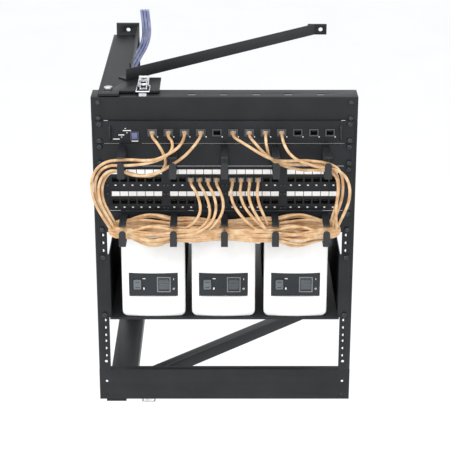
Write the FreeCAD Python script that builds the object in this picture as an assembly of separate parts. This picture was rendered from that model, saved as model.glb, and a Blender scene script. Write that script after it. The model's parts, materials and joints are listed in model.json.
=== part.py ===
"""Swing-gate wall rack with a hub, a patch panel, two ring cable managers and three small UPS units.

Millimetres. +X is to the viewer's right, +Y goes into the wall and +Z is up.
The origin is on the wall plane, at the centre of the four wall bolts.
"""

import FreeCAD, Part
import math
import os

V = FreeCAD.Vector

# Driving dimensions
UNIT = 44.45                      # one rack unit
PANEL_W = 482.6                   # 19 inch panel, over its ears
HOLE_X = 465.12 / 2               # rail holes, from the centre line
HOLE_STEPS = (6.35, 22.225, 38.1)  # rail holes in one unit, from its lower edge
FRAME_W = 494.0                   # gate, over its side rails
FRAME_H = 14 * UNIT
SHEET = 2.0                       # gate and panel steel
PLATE = 4.0                       # wall bracket steel
FRONT = -457.2                    # front plane of the gate: an 18 inch deep bracket
GATE_DEEP = 50.0
WALL_HOLE_X = 406.4 / 2           # studs are 16 inches apart
WALL_HOLE_Z = 328.0
WALL_HOLE_R = 4.4
HINGE_X = -216.0
HINGE_Y = FRONT + 32.0
PIN_R = 4.0
PIN_PLAY = 0.05                   # radial play of every running pin
CORD_R = 2.75
CABLE_R = 3.0

# Levels, from the top of the gate down
TOP = FRAME_H / 2
HUB_TOP = TOP - UNIT
UPPER_TOP = HUB_TOP - UNIT
PATCH_TOP = UPPER_TOP - UNIT
LOWER_TOP = PATCH_TOP - 2 * UNIT
SHELF_TOP = LOWER_TOP - 2 * UNIT
SHELF_BOTTOM = SHELF_TOP - 3 * UNIT
FOOT_TOP = -TOP + 64.75

# Wall bracket
ARM_X0, ARM_X1 = -234.0, -180.0
HINGE_PLATE_X1 = -121.0
HINGE_PLATE_BACK = 115.0
ARM_GAP = 1.85                    # gate to hinge plate, taken up by a washer
ARM_Z0 = TOP + ARM_GAP
ARM_Z1 = ARM_Z0 + PLATE
BRACE_TALL = 22.5
BRACE_WIDE = 25.0
BRACE_THICK = 3.0

# Draw latch: distances behind the front plane and above the hinge plate
LATCH_X = -151.0
LEVER_PIVOT = (38.0, 8.0)
BAIL_PIVOT = (46.0, 3.0)
BAIL_FRONT = 6.0
WIRE_R = 1.25

# Sockets
PORT_PITCH = 30.0
PORT_X0 = -134.0
PORT_Z = HUB_TOP - 22.7
PORTS = 12
PORT_HOLE_W, PORT_HOLE_H = 13.0, 9.6
HUB_FACE_THICK = 3.0
BUTTON_AT = (-167.0, 238.0)
JACK_W, JACK_H, JACK_D = 15.2, 12.8, 16.0
CAVITY_W, CAVITY_H, CAVITY_D = 12.0, 8.6, 12.0
JACK_PITCH = 16.0
GROUP_PITCH = 110.0
ROW_PORT = (-26.8, -70.8)         # middle of each row of jacks, from the top of the panel
ROW_LABEL = (-10.8, -54.4)
BOOT_END = 16.0

# Cable rings
RING_X = (-190.0, -95.0, 0.0, 95.0, 190.0)
RING_ARM = 70.0
RING_W = 13.0
RING_T = 3.0
RING_INSIDE = 36.0
RING_DROP = 4.0
PRONG = 28.0

# UPS units
UPS_X = (-137.0, -2.0, 137.0)
UPS_W, UPS_H, UPS_D = 122.0, 168.0, 360.0
UPS_Z0 = SHELF_BOTTOM + 3.5
BEZEL_D = 26.0
PANEL_MID_Z = -63.4
CONTROL_W, CONTROL_H = 94.0, 49.0
ROCKER_X, ROCKER_R, ROCKER_W = 20.0, 12.6, 20.0
ROCKER_TILT = 10.0
BUTTON_X, BUTTON_W, BUTTON_H = -31.0, 15.0, 20.0


def box(x0, x1, y0, y1, z0, z1):
    return Part.makeBox(x1 - x0, y1 - y0, z1 - z0, V(x0, y0, z0))


def rod(start, direction, radius, length):
    return Part.makeCylinder(radius, length, V(*start), V(*direction))


def fuse(shapes):
    whole = shapes[0]
    for s in shapes[1:]:
        whole = whole.fuse(s)
    return whole.removeSplitter()


def drill(shape, holes):
    return shape.cut(Part.makeCompound(holes))


def mirrored(shape):
    """The same piece under the gate."""
    return shape.mirror(V(0, 0, 0), V(0, 0, 1))


def group(shapes):
    return Part.makeCompound(shapes)


def rounded(x0, x1, y0, y1, z0, z1, radius, along):
    """A block whose edges along one axis are rounded."""
    block = box(x0, x1, y0, y1, z0, z1)
    want = V(*along)
    edges = []
    for edge in block.Edges:
        run = edge.Vertexes[1].Point - edge.Vertexes[0].Point
        if abs(run.normalize().dot(want)) > 0.99:
            edges.append(edge)
    return block.makeFillet(radius, edges)


def save(name, shape):
    shape.exportStep(os.path.join("parts", name + ".step"))


# ---- the gate ----

def rail_holes(side, low, high):
    """Threaded rail holes, three in each unit, counted down from the header."""
    found = []
    for unit in range(1, 13):
        for step in HOLE_STEPS:
            z = TOP - (unit + 1) * UNIT + step
            if low < z < high:
                found.append(rod((side * HOLE_X, FRONT - 5, z), (0, 1, 0), 3.0, 12))
    return found


def rail(side):
    """A folded side rail: front flange, side web and rear lip."""
    x = side * FRAME_W / 2
    inner = side * (FRAME_W / 2 - 23)
    lip = side * (FRAME_W / 2 - 10)
    web = x - side * SHEET
    parts = [
        box(min(x, inner), max(x, inner), FRONT, FRONT + SHEET, FOOT_TOP, HUB_TOP),
        box(min(x, web), max(x, web), FRONT, FRONT + GATE_DEEP, FOOT_TOP, HUB_TOP),
        box(min(x, lip), max(x, lip), FRONT + GATE_DEEP - SHEET, FRONT + GATE_DEEP, FOOT_TOP, HUB_TOP),
    ]
    return drill(fuse(parts), rail_holes(side, FOOT_TOP + 6, HUB_TOP))


def cross_channel(face_low, face_high, flange_at, lip_at):
    """The gate's top or bottom: a face, a deep flange with the hinge hole, a short lip and two ends."""
    w = FRAME_W / 2
    parts = [
        box(-w, w, FRONT, FRONT + SHEET, face_low, face_high),
        box(-w, w, FRONT, FRONT + GATE_DEEP, flange_at, flange_at + SHEET),
        box(-w, w, FRONT, FRONT + 16, lip_at, lip_at + SHEET),
        box(-w, -w + SHEET, FRONT, FRONT + GATE_DEEP, face_low, face_high),
        box(w - SHEET, w, FRONT, FRONT + GATE_DEEP, face_low, face_high),
    ]
    hinge = rod((HINGE_X, HINGE_Y, flange_at - 1), (0, 0, 1), PIN_R + PIN_PLAY, SHEET + 2)
    return drill(fuse(parts), [hinge])


def header_channel():
    channel = cross_channel(HUB_TOP, TOP, TOP - SHEET, HUB_TOP)
    slots = []
    for x in (-61, -1, 59, 119, 179):
        slots.append(box(x - 7, x + 7, FRONT + 16, FRONT + 24, TOP - SHEET - 1, TOP + 1))
    return drill(channel, slots)


def bottom_channel():
    channel = cross_channel(-TOP, FOOT_TOP, -TOP, FOOT_TOP - SHEET)
    holes = []
    for z in (FOOT_TOP - 25.5, FOOT_TOP - 55):
        for side in (-1, 1):
            holes.append(rod((side * HOLE_X, FRONT - 5, z), (0, 1, 0), 2.6, 12))
    return drill(channel, holes)


def latch_keepers():
    """A small hook on the top flange and its twin under the bottom flange."""
    base = box(LATCH_X - 7, LATCH_X + 7, FRONT + 2, FRONT + 14, TOP, TOP + 2)
    lip = box(LATCH_X - 7, LATCH_X + 7, FRONT + 2, FRONT + 4, TOP, TOP + 6.3)
    hook = fuse([base, lip])
    return group([hook, mirrored(hook)])


# ---- the wall bracket ----

def wall_channel():
    """Upright channel on the left studs; the building cables run down inside it."""
    high = ARM_Z1 + 25
    parts = [
        box(-228, ARM_X1, -3, 0, -high, high),
        box(-228, -225.5, -25, 0, -300, 240),
        box(-182.5, ARM_X1, -25, 0, -300, 240),
    ]
    holes = []
    for z in (-WALL_HOLE_Z, -150, 0, 150, WALL_HOLE_Z):
        holes.append(rod((-WALL_HOLE_X, -6, z), (0, 1, 0), WALL_HOLE_R, 8))
    return drill(fuse(parts), holes)


def top_arm():
    """One plate from the hinge to the wall, with a stiffening flange and a foot."""
    wide = box(ARM_X0, HINGE_PLATE_X1, FRONT + 22, FRONT + HINGE_PLATE_BACK, ARM_Z0, ARM_Z1)
    nose = box(ARM_X0, -195, FRONT + 2, FRONT + 22, ARM_Z0, ARM_Z1)
    run = box(ARM_X0, ARM_X1, FRONT + HINGE_PLATE_BACK, -3, ARM_Z0, ARM_Z1)
    flange = box(ARM_X1 - 3, ARM_X1, FRONT + 140, -7, ARM_Z1, ARM_Z1 + 21)
    foot = box(ARM_X0 + 6, ARM_X1, -7, -3, ARM_Z1, ARM_Z1 + 25)
    arm = fuse([wide, nose, run, flange, foot])
    holes = [
        rod((HINGE_X, HINGE_Y, ARM_Z0 - 1), (0, 0, 1), PIN_R, PLATE + 2),
        rod((-WALL_HOLE_X, -9, WALL_HOLE_Z), (0, 1, 0), WALL_HOLE_R, 8),
        rod((BRACE_BOLT[0], BRACE_BOLT[1], ARM_Z0 - 1), (0, 0, 1), 3.1, PLATE + 2),
    ]
    return drill(arm, holes)


BRACE_START = (-185.0, FRONT + 91)
BRACE_END = (190.0, -4.0)
BRACE_RUN = V(BRACE_END[0] - BRACE_START[0], BRACE_END[1] - BRACE_START[1], 0)
BRACE_BOLT = (-176.0, FRONT + 112)


def top_brace():
    """A steel angle that runs diagonally to the right-hand studs and ends in a foot."""
    turn = math.degrees(math.atan2(BRACE_RUN.y, BRACE_RUN.x))
    flat = box(0, BRACE_RUN.Length, 0, BRACE_WIDE, 0, BRACE_THICK)
    upright = box(0, BRACE_RUN.Length, 0, BRACE_THICK, 0, BRACE_TALL)
    angle = fuse([flat, upright])
    angle.rotate(V(0, 0, 0), V(0, 0, 1), turn)
    angle.translate(V(BRACE_START[0], BRACE_START[1], ARM_Z1))
    room = box(-400, 400, FRONT, -PLATE, 0, 500)
    angle = angle.common(room)
    foot = box(176, 216, -PLATE, 0, ARM_Z1, ARM_Z1 + BRACE_TALL)
    holes = [
        rod((WALL_HOLE_X, -8, WALL_HOLE_Z), (0, 1, 0), WALL_HOLE_R, 10),
        rod((BRACE_BOLT[0], BRACE_BOLT[1], ARM_Z1 - 1), (0, 0, 1), 3.1, 8),
    ]
    return drill(fuse([angle, foot]), holes)


def hex_prism(centre, radius, tall):
    corners = []
    for i in range(7):
        a = math.radians(60 * i)
        corners.append(centre + V(radius * math.cos(a), radius * math.sin(a), 0))
    return Part.Face(Part.makePolygon(corners)).extrude(V(0, 0, tall))


def hinge_pins():
    """Shoulder bolt, nut and washer at the top and at the bottom."""
    head = hex_prism(V(HINGE_X, HINGE_Y, ARM_Z1), 8, 5.5)
    shank = rod((HINGE_X, HINGE_Y, TOP - 12), (0, 0, 1), PIN_R, ARM_Z1 - TOP + 12)
    nut = hex_prism(V(HINGE_X, HINGE_Y, TOP - 11), 7.5, 8)
    washer = rod((HINGE_X, HINGE_Y, TOP + 0.3), (0, 0, 1), 10, ARM_GAP - 0.3)
    bolt = fuse([head, shank, nut, washer])
    return group([bolt, mirrored(bolt)])


def bracket_bolts():
    head = hex_prism(V(BRACE_BOLT[0], BRACE_BOLT[1], ARM_Z1 + BRACE_THICK), 6, 4)
    shank = rod((BRACE_BOLT[0], BRACE_BOLT[1], ARM_Z0 - 1), (0, 0, 1), 3, PLATE + BRACE_THICK + 2)
    bolt = fuse([head, shank])
    return group([bolt, mirrored(bolt)])


# ---- the draw latches ----

def latch_point(back_up):
    return V(LATCH_X, FRONT + back_up[0], ARM_Z1 + back_up[1])


def latch_base():
    """Two ears and the pin that the lever turns on."""
    pivot = latch_point(LEVER_PIVOT)
    floor = box(LATCH_X - 7, LATCH_X + 7, FRONT + 30, FRONT + 45, ARM_Z1, ARM_Z1 + 1.5)
    ears = []
    for side in (-1, 1):
        x = LATCH_X + side * 6
        ears.append(box(x - 1, x + 1, FRONT + 33, FRONT + 43, ARM_Z1, ARM_Z1 + 12))
    pin = rod((LATCH_X - 10.5, pivot.y, pivot.z), (1, 0, 0), 2.0, 21)
    return fuse([floor, pin] + ears)


def latch_lever():
    """Two cheeks and a handle plate with an oval hole."""
    pivot = latch_point(LEVER_PIVOT)
    bail = latch_point(BAIL_PIVOT)
    cheeks = []
    for side in (-1, 1):
        x = LATCH_X + side * 9
        cheeks.append(box(x - 1, x + 1, pivot.y - 4, pivot.y + 20, pivot.z - 4, pivot.z + 4))
        cheeks.append(box(x - 1, x + 1, bail.y - 4, bail.y + 4, bail.z - 2.4, bail.z + 2))
    handle = box(LATCH_X - 10, LATCH_X + 10, pivot.y + 13, pivot.y + 40, pivot.z + 1.5, pivot.z + 4)
    tip = rod((LATCH_X - 10, pivot.y + 40, pivot.z + 3.5), (1, 0, 0), 2.2, 20)
    holes = [
        rod((LATCH_X - 15, pivot.y, pivot.z), (1, 0, 0), 2.0 + PIN_PLAY, 30),
        rod((LATCH_X - 15, bail.y, bail.z), (1, 0, 0), WIRE_R + PIN_PLAY, 30),
        rounded(LATCH_X - 5, LATCH_X + 5, pivot.y + 20, pivot.y + 32, pivot.z, pivot.z + 6, 4.5, (0, 0, 1)),
    ]
    return drill(fuse(cheeks + [handle, tip]), holes)


def latch_bail():
    """A bent wire loop whose ends turn inwards into the lever's cheeks."""
    at = latch_point(BAIL_PIVOT)
    front = FRONT + BAIL_FRONT
    legs = []
    for side in (-1, 1):
        x = LATCH_X + side * 12
        legs.append(rod((x, front, at.z), (0, 1, 0), WIRE_R, at.y - front))
        legs.append(rod((x, at.y, at.z), (-side, 0, 0), WIRE_R, 4))
        legs.append(Part.makeSphere(WIRE_R, V(x, at.y, at.z)))
        legs.append(Part.makeSphere(WIRE_R, V(x, front, at.z)))
    bar = rod((LATCH_X - 12, front, at.z), (1, 0, 0), WIRE_R, 24)
    return fuse(legs + [bar])


# ---- the hub ----

def port_x(i):
    return PORT_X0 + PORT_PITCH * i


def hub_face():
    """Face plate with rack ears and end ribs: two ends, a strip above the ports, one below, and posts."""
    low, high = UPPER_TOP + 0.5, HUB_TOP - 0.5
    first, last = port_x(0) - PORT_HOLE_W / 2, port_x(PORTS - 1) + PORT_HOLE_W / 2
    sill, lintel = PORT_Z - PORT_HOLE_H / 2, PORT_Z + PORT_HOLE_H / 2
    back = FRONT - HUB_FACE_THICK
    cuts = ear_slots(UPPER_TOP, HUB_TOP)
    cuts.append(box(BUTTON_AT[0] - 6, BUTTON_AT[0] + 6, FRONT - 4, FRONT + 1, BUTTON_AT[1] - 6,
                    BUTTON_AT[1] + 6))
    parts = []
    for x0, x1, rib in ((-PANEL_W / 2, first, -213), (last, PANEL_W / 2, 216)):
        plate = box(x0, x1, back, FRONT, low, high)
        bar = box(rib - 2, rib + 2, back - 6, back, low + 5, high - 7)
        parts.append(drill(fuse([plate, bar]), cuts))
    parts.append(box(first, last, back, FRONT, lintel, high))
    parts.append(box(first, last, back, FRONT, low, sill))
    for i in range(PORTS - 1):
        parts.append(box(port_x(i) + PORT_HOLE_W / 2, port_x(i + 1) - PORT_HOLE_W / 2, back, FRONT, sill,
                         lintel))
    return group(parts)


def ear_slots(low, high):
    """Screw holes in a panel's ears, next to its top and bottom edges."""
    holes = []
    for side in (-1, 1):
        for z in (low + HOLE_STEPS[0], high - HOLE_STEPS[0]):
            holes.append(rod((side * HOLE_X, FRONT - 6, z), (0, 1, 0), 3.2, 8))
    return holes


def hub_chassis():
    """Folded case, open towards the face plate."""
    low, high = UPPER_TOP + 2, HUB_TOP - 2.5
    outer = box(-217, 217, FRONT, FRONT + 150, low, high)
    inner = box(-215.8, 215.8, FRONT - 1, FRONT + 148.8, low + 1.2, high - 1.2)
    return outer.cut(inner)


def jack(x, z):
    """One socket housing; its opening faces the viewer."""
    shell = box(x - JACK_W / 2, x + JACK_W / 2, FRONT, FRONT + JACK_D, z - JACK_H / 2, z + JACK_H / 2)
    cavity = box(x - CAVITY_W / 2, x + CAVITY_W / 2, FRONT - 1, FRONT + CAVITY_D, z - CAVITY_H / 2,
                 z + CAVITY_H / 2)
    return shell.cut(cavity)


def hub_jacks():
    return group([jack(port_x(i), PORT_Z) for i in range(PORTS)])


def hub_board():
    """Circuit board with its main chips and supply."""
    low = UPPER_TOP + 6
    parts = [box(-205, 205, FRONT + 18, FRONT + 144, low, low + 1.6)]
    for x in (-120, -40, 40, 120):
        parts.append(box(x - 14, x + 14, FRONT + 50, FRONT + 78, low + 1.6, low + 4.6))
    parts.append(box(-190, -120, FRONT + 92, FRONT + 140, low + 1.6, low + 26))
    return fuse(parts)


def hub_button():
    x, z = BUTTON_AT
    cap = box(x - 5.6, x + 5.6, FRONT - 6, FRONT + 2, z - 5.6, z + 5.6)
    stem = box(x - 2, x + 2, FRONT + 2, FRONT + 12, z - 2, z + 2)
    return fuse([cap, stem])


# ---- cable managers ----

def manager_panel(top):
    low, high = top - UNIT + 0.5, top - 0.5
    face = box(-PANEL_W / 2, PANEL_W / 2, FRONT - SHEET, FRONT, low, high)
    return drill(face, ear_slots(top - UNIT, top))


def ring(x, top):
    """An open ring: a foot on the panel, an upper arm, a lower arm and a prong with a slot above it."""
    mid = top - UNIT / 2 - RING_DROP
    high, low = mid + RING_INSIDE / 2, mid - RING_INSIDE / 2
    back, tip = FRONT - SHEET, FRONT - RING_ARM
    x0, x1 = x - RING_W / 2, x + RING_W / 2
    foot = box(x0, x1, back - RING_T, back, low - RING_T, high + RING_T)
    upper = box(x0, x1, tip + 3, back, high, high + RING_T)
    lower = box(x0, x1, tip, back, low - RING_T, low)
    prong = rounded(x0, x1, tip, tip + RING_T, low - RING_T - 8, low - RING_T + PRONG + RING_T,
                    RING_W / 2 - 0.5, (0, 1, 0))
    prong = prong.common(box(x0, x1, tip, tip + RING_T, low - RING_T, high))
    return fuse([foot, upper, lower, prong])


def manager_rings():
    return group([ring(x, top) for top in (UPPER_TOP, LOWER_TOP) for x in RING_X])


# ---- patch panel ----

def jack_places():
    places = []
    for row in ROW_PORT:
        for g in range(4):
            for i in range(6):
                places.append(((g - 1.5) * GROUP_PITCH + (i - 2.5) * JACK_PITCH, PATCH_TOP + row))
    return places


def patch_plate():
    low, high = LOWER_TOP + 0.5, PATCH_TOP - 0.5
    face = box(-PANEL_W / 2, PANEL_W / 2, FRONT - SHEET, FRONT, low, high)
    cuts = ear_slots(LOWER_TOP, PATCH_TOP)
    for x, z in jack_places():
        cuts.append(box(x - 6.5, x + 6.5, FRONT - 4, FRONT + 1, z - 4.8, z + 4.8))
    return drill(face, cuts)


def patch_jacks():
    return group([jack(x, z) for x, z in jack_places()])


def patch_labels():
    """Eight white designation strips, one over each group of six jacks."""
    strips = []
    for row in ROW_LABEL:
        for g in range(4):
            x = (g - 1.5) * GROUP_PITCH
            z = PATCH_TOP + row
            strips.append(box(x - 48, x + 48, FRONT - SHEET - 1.2, FRONT - SHEET, z - 4.7, z + 4.7))
    return group(strips)


def patch_blocks():
    """Circuit boards behind the jacks, each with its row of wire terminals."""
    blocks = []
    for row in ROW_PORT:
        for g in range(4):
            x = (g - 1.5) * GROUP_PITCH
            z = PATCH_TOP + row
            board = box(x - 50, x + 50, FRONT + JACK_D, FRONT + JACK_D + 1.6, z - 17, z + 17)
            comb = box(x - 46, x + 46, FRONT + JACK_D + 1.6, FRONT + JACK_D + 24, z - 11, z + 11)
            slot = box(x - 47, x + 47, FRONT + JACK_D + 12, FRONT + JACK_D + 25, z - 5, z + 5)
            blocks.append(fuse([board, comb]).cut(slot))
    return group(blocks)


# ---- fasteners ----

def rack_screw(side, z, face):
    """Pan-head screw with a cross recess; its shank passes the panel and the rail."""
    x = side * HOLE_X
    head = rod((x, face, z), (0, -1, 0), 4.6, 3.2)
    rim = [e for e in head.Edges if abs(e.BoundBox.YMin - (face - 3.2)) < 0.01 and e.BoundBox.YLength < 0.01]
    head = head.makeFillet(1.4, rim)
    shank = rod((x, face, z), (0, 1, 0), 2.5, 12)
    cross = [box(x - 2.4, x + 2.4, face - 4, face - 1.8, z - 0.5, z + 0.5)]
    cross.append(box(x - 0.5, x + 0.5, face - 4, face - 1.8, z - 2.4, z + 2.4))
    return drill(fuse([head, shank]), cross)


def rack_screws():
    screws = []
    panels = [
        (UPPER_TOP, HUB_TOP, FRONT - 3),
        (PATCH_TOP, UPPER_TOP, FRONT - SHEET),
        (LOWER_TOP, PATCH_TOP, FRONT - SHEET),
        (LOWER_TOP - UNIT, LOWER_TOP, FRONT - SHEET),
        (SHELF_BOTTOM, SHELF_TOP, FRONT - SHEET),
    ]
    for low, high, face in panels:
        for side in (-1, 1):
            for z in (low + HOLE_STEPS[0], high - HOLE_STEPS[0]):
                screws.append(rack_screw(side, z, face))
    return group(screws)


# ---- shelf ----

def equipment_shelf():
    """A tray with a turned-down front edge, two tapering sides and two rack ears, folded from one sheet."""
    x = 222.0
    tray = box(-x, x, FRONT - 7, FRONT + 380, SHELF_BOTTOM + 1.5, SHELF_BOTTOM + 3.5)
    edge_strip = box(-x, x, FRONT - 9, FRONT - 7, SHELF_BOTTOM - 0.5, SHELF_BOTTOM + 3.5)
    parts = [tray, edge_strip]
    for side in (-1, 1):
        edge = side * x
        web = side * (x - SHEET)
        outline = [(FRONT - SHEET, SHELF_TOP - 0.5), (FRONT + 120, SHELF_TOP - 0.5)]
        outline += [(FRONT + 380, SHELF_BOTTOM + 28), (FRONT + 380, SHELF_BOTTOM + 1.5),
                    (FRONT - SHEET, SHELF_BOTTOM + 1.5)]
        corners = [V(min(edge, web), y, z) for y, z in outline]
        wall = Part.Face(Part.makePolygon(corners + corners[:1])).extrude(V(SHEET, 0, 0))
        ear_x = side * PANEL_W / 2
        ear = box(min(web, ear_x), max(web, ear_x), FRONT - SHEET, FRONT, SHELF_BOTTOM + 0.5, SHELF_TOP - 0.5)
        parts += [wall, ear]
    return drill(fuse(parts), ear_slots(SHELF_BOTTOM, SHELF_TOP))


# ---- the UPS units ----

def ups_case(x):
    """Tall sleeve, open at the front and the rear."""
    x0, x1 = x - UPS_W / 2 + 1, x + UPS_W / 2 - 1
    z0, z1 = UPS_Z0, UPS_Z0 + UPS_H - 1
    y0, y1 = FRONT + BEZEL_D, FRONT + UPS_D
    outer = rounded(x0, x1, y0, y1, z0, z1, 9, (0, 1, 0))
    inner = rounded(x0 + 2.5, x1 - 2.5, y0 - 1, y1 + 1, z0 + 2.5, z1 - 2.5, 6.5, (0, 1, 0))
    return outer.cut(inner)


def ups_front(x):
    """Moulded front with rounded edges and a pocket for the control panel."""
    x0, x1 = x - UPS_W / 2, x + UPS_W / 2
    front = rounded(x0, x1, FRONT, FRONT + BEZEL_D, UPS_Z0, UPS_Z0 + UPS_H, 10, (0, 1, 0))
    edge = [e for e in front.Edges if e.BoundBox.YLength < 0.01 and abs(e.BoundBox.YMin - FRONT) < 0.01]
    front = front.makeFillet(4, edge)
    hollow = rounded(x0 + 3, x1 - 3, FRONT + 20, FRONT + BEZEL_D + 1, UPS_Z0 + 3, UPS_Z0 + UPS_H - 3, 7,
                     (0, 1, 0))
    half_w, half_h = CONTROL_W / 2, CONTROL_H / 2
    seat = box(x - half_w, x + half_w, FRONT - 1, FRONT + 4, PANEL_MID_Z - half_h, PANEL_MID_Z + half_h)
    well = box(x - half_w + 6, x + half_w - 6, FRONT + 3, FRONT + 30, PANEL_MID_Z - half_h + 6,
               PANEL_MID_Z + half_h - 6)
    return drill(front, [hollow, seat, well])


def control_panel(x):
    """Dark insert with openings for the rocker switch and the test button."""
    half_w, half_h = CONTROL_W / 2, CONTROL_H / 2
    plate = rounded(x - half_w + 0.3, x + half_w - 0.3, FRONT - 1, FRONT + 4, PANEL_MID_Z - half_h + 0.3,
                    PANEL_MID_Z + half_h - 0.3, 4, (0, 1, 0))
    rocker = box(x + ROCKER_X - 10.5, x + ROCKER_X + 10.5, FRONT - 5, FRONT + 8, PANEL_MID_Z - 13.2,
                 PANEL_MID_Z + 13.2)
    w, h = BUTTON_W / 2 + 0.4, BUTTON_H / 2 + 0.4
    button = box(x + BUTTON_X - w, x + BUTTON_X + w, FRONT - 5, FRONT + 8, PANEL_MID_Z - h, PANEL_MID_Z + h)
    return drill(plate, [rocker, button])


def ups_rocker(x):
    """Rocker switch, pressed at its top; it turns on a level axis behind the panel."""
    axis_y = FRONT + 4
    barrel = rod((x + ROCKER_X - ROCKER_W / 2, axis_y, PANEL_MID_Z), (1, 0, 0), ROCKER_R, ROCKER_W)
    front = box(x - 60, x + 60, axis_y - 7, axis_y + 3, PANEL_MID_Z - 20, PANEL_MID_Z + 20)
    rocker = barrel.common(front)
    rocker.rotate(V(x, axis_y, PANEL_MID_Z), V(1, 0, 0), ROCKER_TILT)
    return rocker


def ups_test_button(x):
    w, h = BUTTON_W / 2, BUTTON_H / 2
    cap = rounded(x + BUTTON_X - w, x + BUTTON_X + w, FRONT - 3.5, FRONT + 3, PANEL_MID_Z - h,
                  PANEL_MID_Z + h, 2, (0, 1, 0))
    stem = box(x + BUTTON_X - 3, x + BUTTON_X + 3, FRONT + 3, FRONT + 12, PANEL_MID_Z - 3, PANEL_MID_Z + 3)
    return fuse([cap, stem])


def ups_battery(x):
    block = box(x - 33, x + 33, FRONT + 190, FRONT + 341, UPS_Z0 + 5, UPS_Z0 + 99)
    posts = [box(x + s * 24 - 3, x + s * 24 + 3, FRONT + 200, FRONT + 207, UPS_Z0 + 99,
                 UPS_Z0 + 104) for s in (-1, 1)]
    return fuse([block] + posts)


def ups_transformer(x):
    core = box(x - 38, x + 38, FRONT + 70, FRONT + 130, UPS_Z0 + 5, UPS_Z0 + 69)
    coil = rounded(x - 26, x + 26, FRONT + 52, FRONT + 148, UPS_Z0 + 19, UPS_Z0 + 56, 8, (0, 0, 1))
    return fuse([core, coil])


def ups_board(x):
    board = box(x - 52, x - 50, FRONT + 40, FRONT + 330, UPS_Z0 + 22, UPS_Z0 + 150)
    sink = box(x - 50, x - 30, FRONT + 60, FRONT + 160, UPS_Z0 + 96, UPS_Z0 + 140)
    return fuse([board, sink])


def ups_rear_panel(x):
    """Rear plate with six outlet recesses and the mains inlet."""
    y = FRONT + UPS_D
    plate = rounded(x - 57, x + 57, y - 4, y - 1, UPS_Z0 + 4, UPS_Z0 + UPS_H - 6, 5, (0, 1, 0))
    cuts = []
    for row in range(3):
        for side in (-1, 1):
            cx, cz = x + side * 26, UPS_Z0 + 62 + 36 * row
            cuts.append(box(cx - 13, cx + 13, y - 2.4, y + 1, cz - 12, cz + 12))
    cuts.append(box(x - 14, x + 14, y - 5, y + 1, UPS_Z0 + 16, UPS_Z0 + 36))
    return drill(plate, cuts)


# ---- patch cords: each point is (x, distance in front of the gate's face, z) ----

HUB_ROUTES = {
    1: [(-134, 16, 244), (-134, 30, 244), (-122, 44, 235), (-111, 50, 217), (-107, 46, 198), (-116, 46, 182),
        (-138, 46, 172), (-164, 47, 176), (-190, 48, 185), (-210, 50, 183), (-222, 52, 169), (-227, 52, 149),
        (-225, 52, 127), (-217, 50, 107), (-208, 46, 88), (-200, 41, 68)],
    2: [(-104, 16, 244), (-104, 30, 244), (-95, 46, 240), (-95, 61, 229), (-108, 66, 217), (-129, 64, 207),
        (-158, 60, 200), (-190, 57, 197), (-212, 55, 198), (-230, 53, 186), (-239, 53, 165), (-239, 53, 141),
        (-232, 51, 119), (-222, 47, 98), (-210, 43, 71)],
    3: [(-74, 16, 244), (-74, 31, 244), (-77, 48, 240), (-86, 63, 232), (-104, 71, 223), (-124, 69, 213),
        (-146, 63, 209), (-168, 57, 209), (-190, 53, 207), (-215, 56, 206), (-235, 58, 193), (-245, 59, 171),
        (-245, 59, 146), (-239, 58, 122), (-228, 55, 99), (-214, 49, 71)],
    4: [(-44, 16, 244), (-44, 30, 244), (-52, 44, 236), (-65, 52, 222), (-80, 54, 209), (-95, 53, 199),
        (-110, 54, 189), (-128, 56, 181), (-149, 57, 177), (-170, 57, 179), (-190, 57, 187), (-211, 58, 189),
        (-226, 59, 176), (-233, 59, 155), (-231, 59, 132), (-224, 57, 111), (-214, 53, 90), (-205, 47, 69)],
    5: [(16, 16, 244), (16, 30, 244), (33, 45, 238), (54, 54, 227), (76, 54, 213), (97, 48, 204),
        (118, 45, 202), (142, 46, 204), (166, 48, 203), (190, 50, 200), (208, 52, 192), (217, 53, 176),
        (219, 54, 155), (218, 54, 133), (212, 52, 112), (206, 49, 91), (203, 45, 68)],
    6: [(46, 16, 244), (46, 30, 244), (57, 43, 235), (70, 45, 220), (83, 40, 206), (99, 36, 197),
        (118, 37, 193), (142, 41, 195), (166, 43, 195), (190, 44, 192), (203, 46, 184), (210, 47, 169),
        (212, 47, 149), (210, 47, 128), (206, 44, 108), (201, 41, 89), (199, 36, 68)],
    7: [(76, 16, 244), (76, 29, 244), (76.5, 39, 233), (79.5, 38, 220), (82, 33, 207), (92, 27, 195),
        (108, 25, 187), (127, 31, 183), (147, 38, 182), (168, 43, 184), (192, 48, 185), (207, 54, 175),
        (210, 58, 157), (209, 59, 138), (207, 59, 118), (207, 57, 96), (210, 50, 68)],
    8: [(106, 16, 244), (106, 31, 244), (109, 46, 235), (118, 54, 220), (134, 56, 207), (154, 56, 200),
        (174, 58, 194), (193, 59, 193), (212, 60, 188), (226, 60, 173), (232, 60, 151), (230, 60, 127),
        (223, 58, 106), (216, 52, 87), (211, 43, 70)],
}
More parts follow.
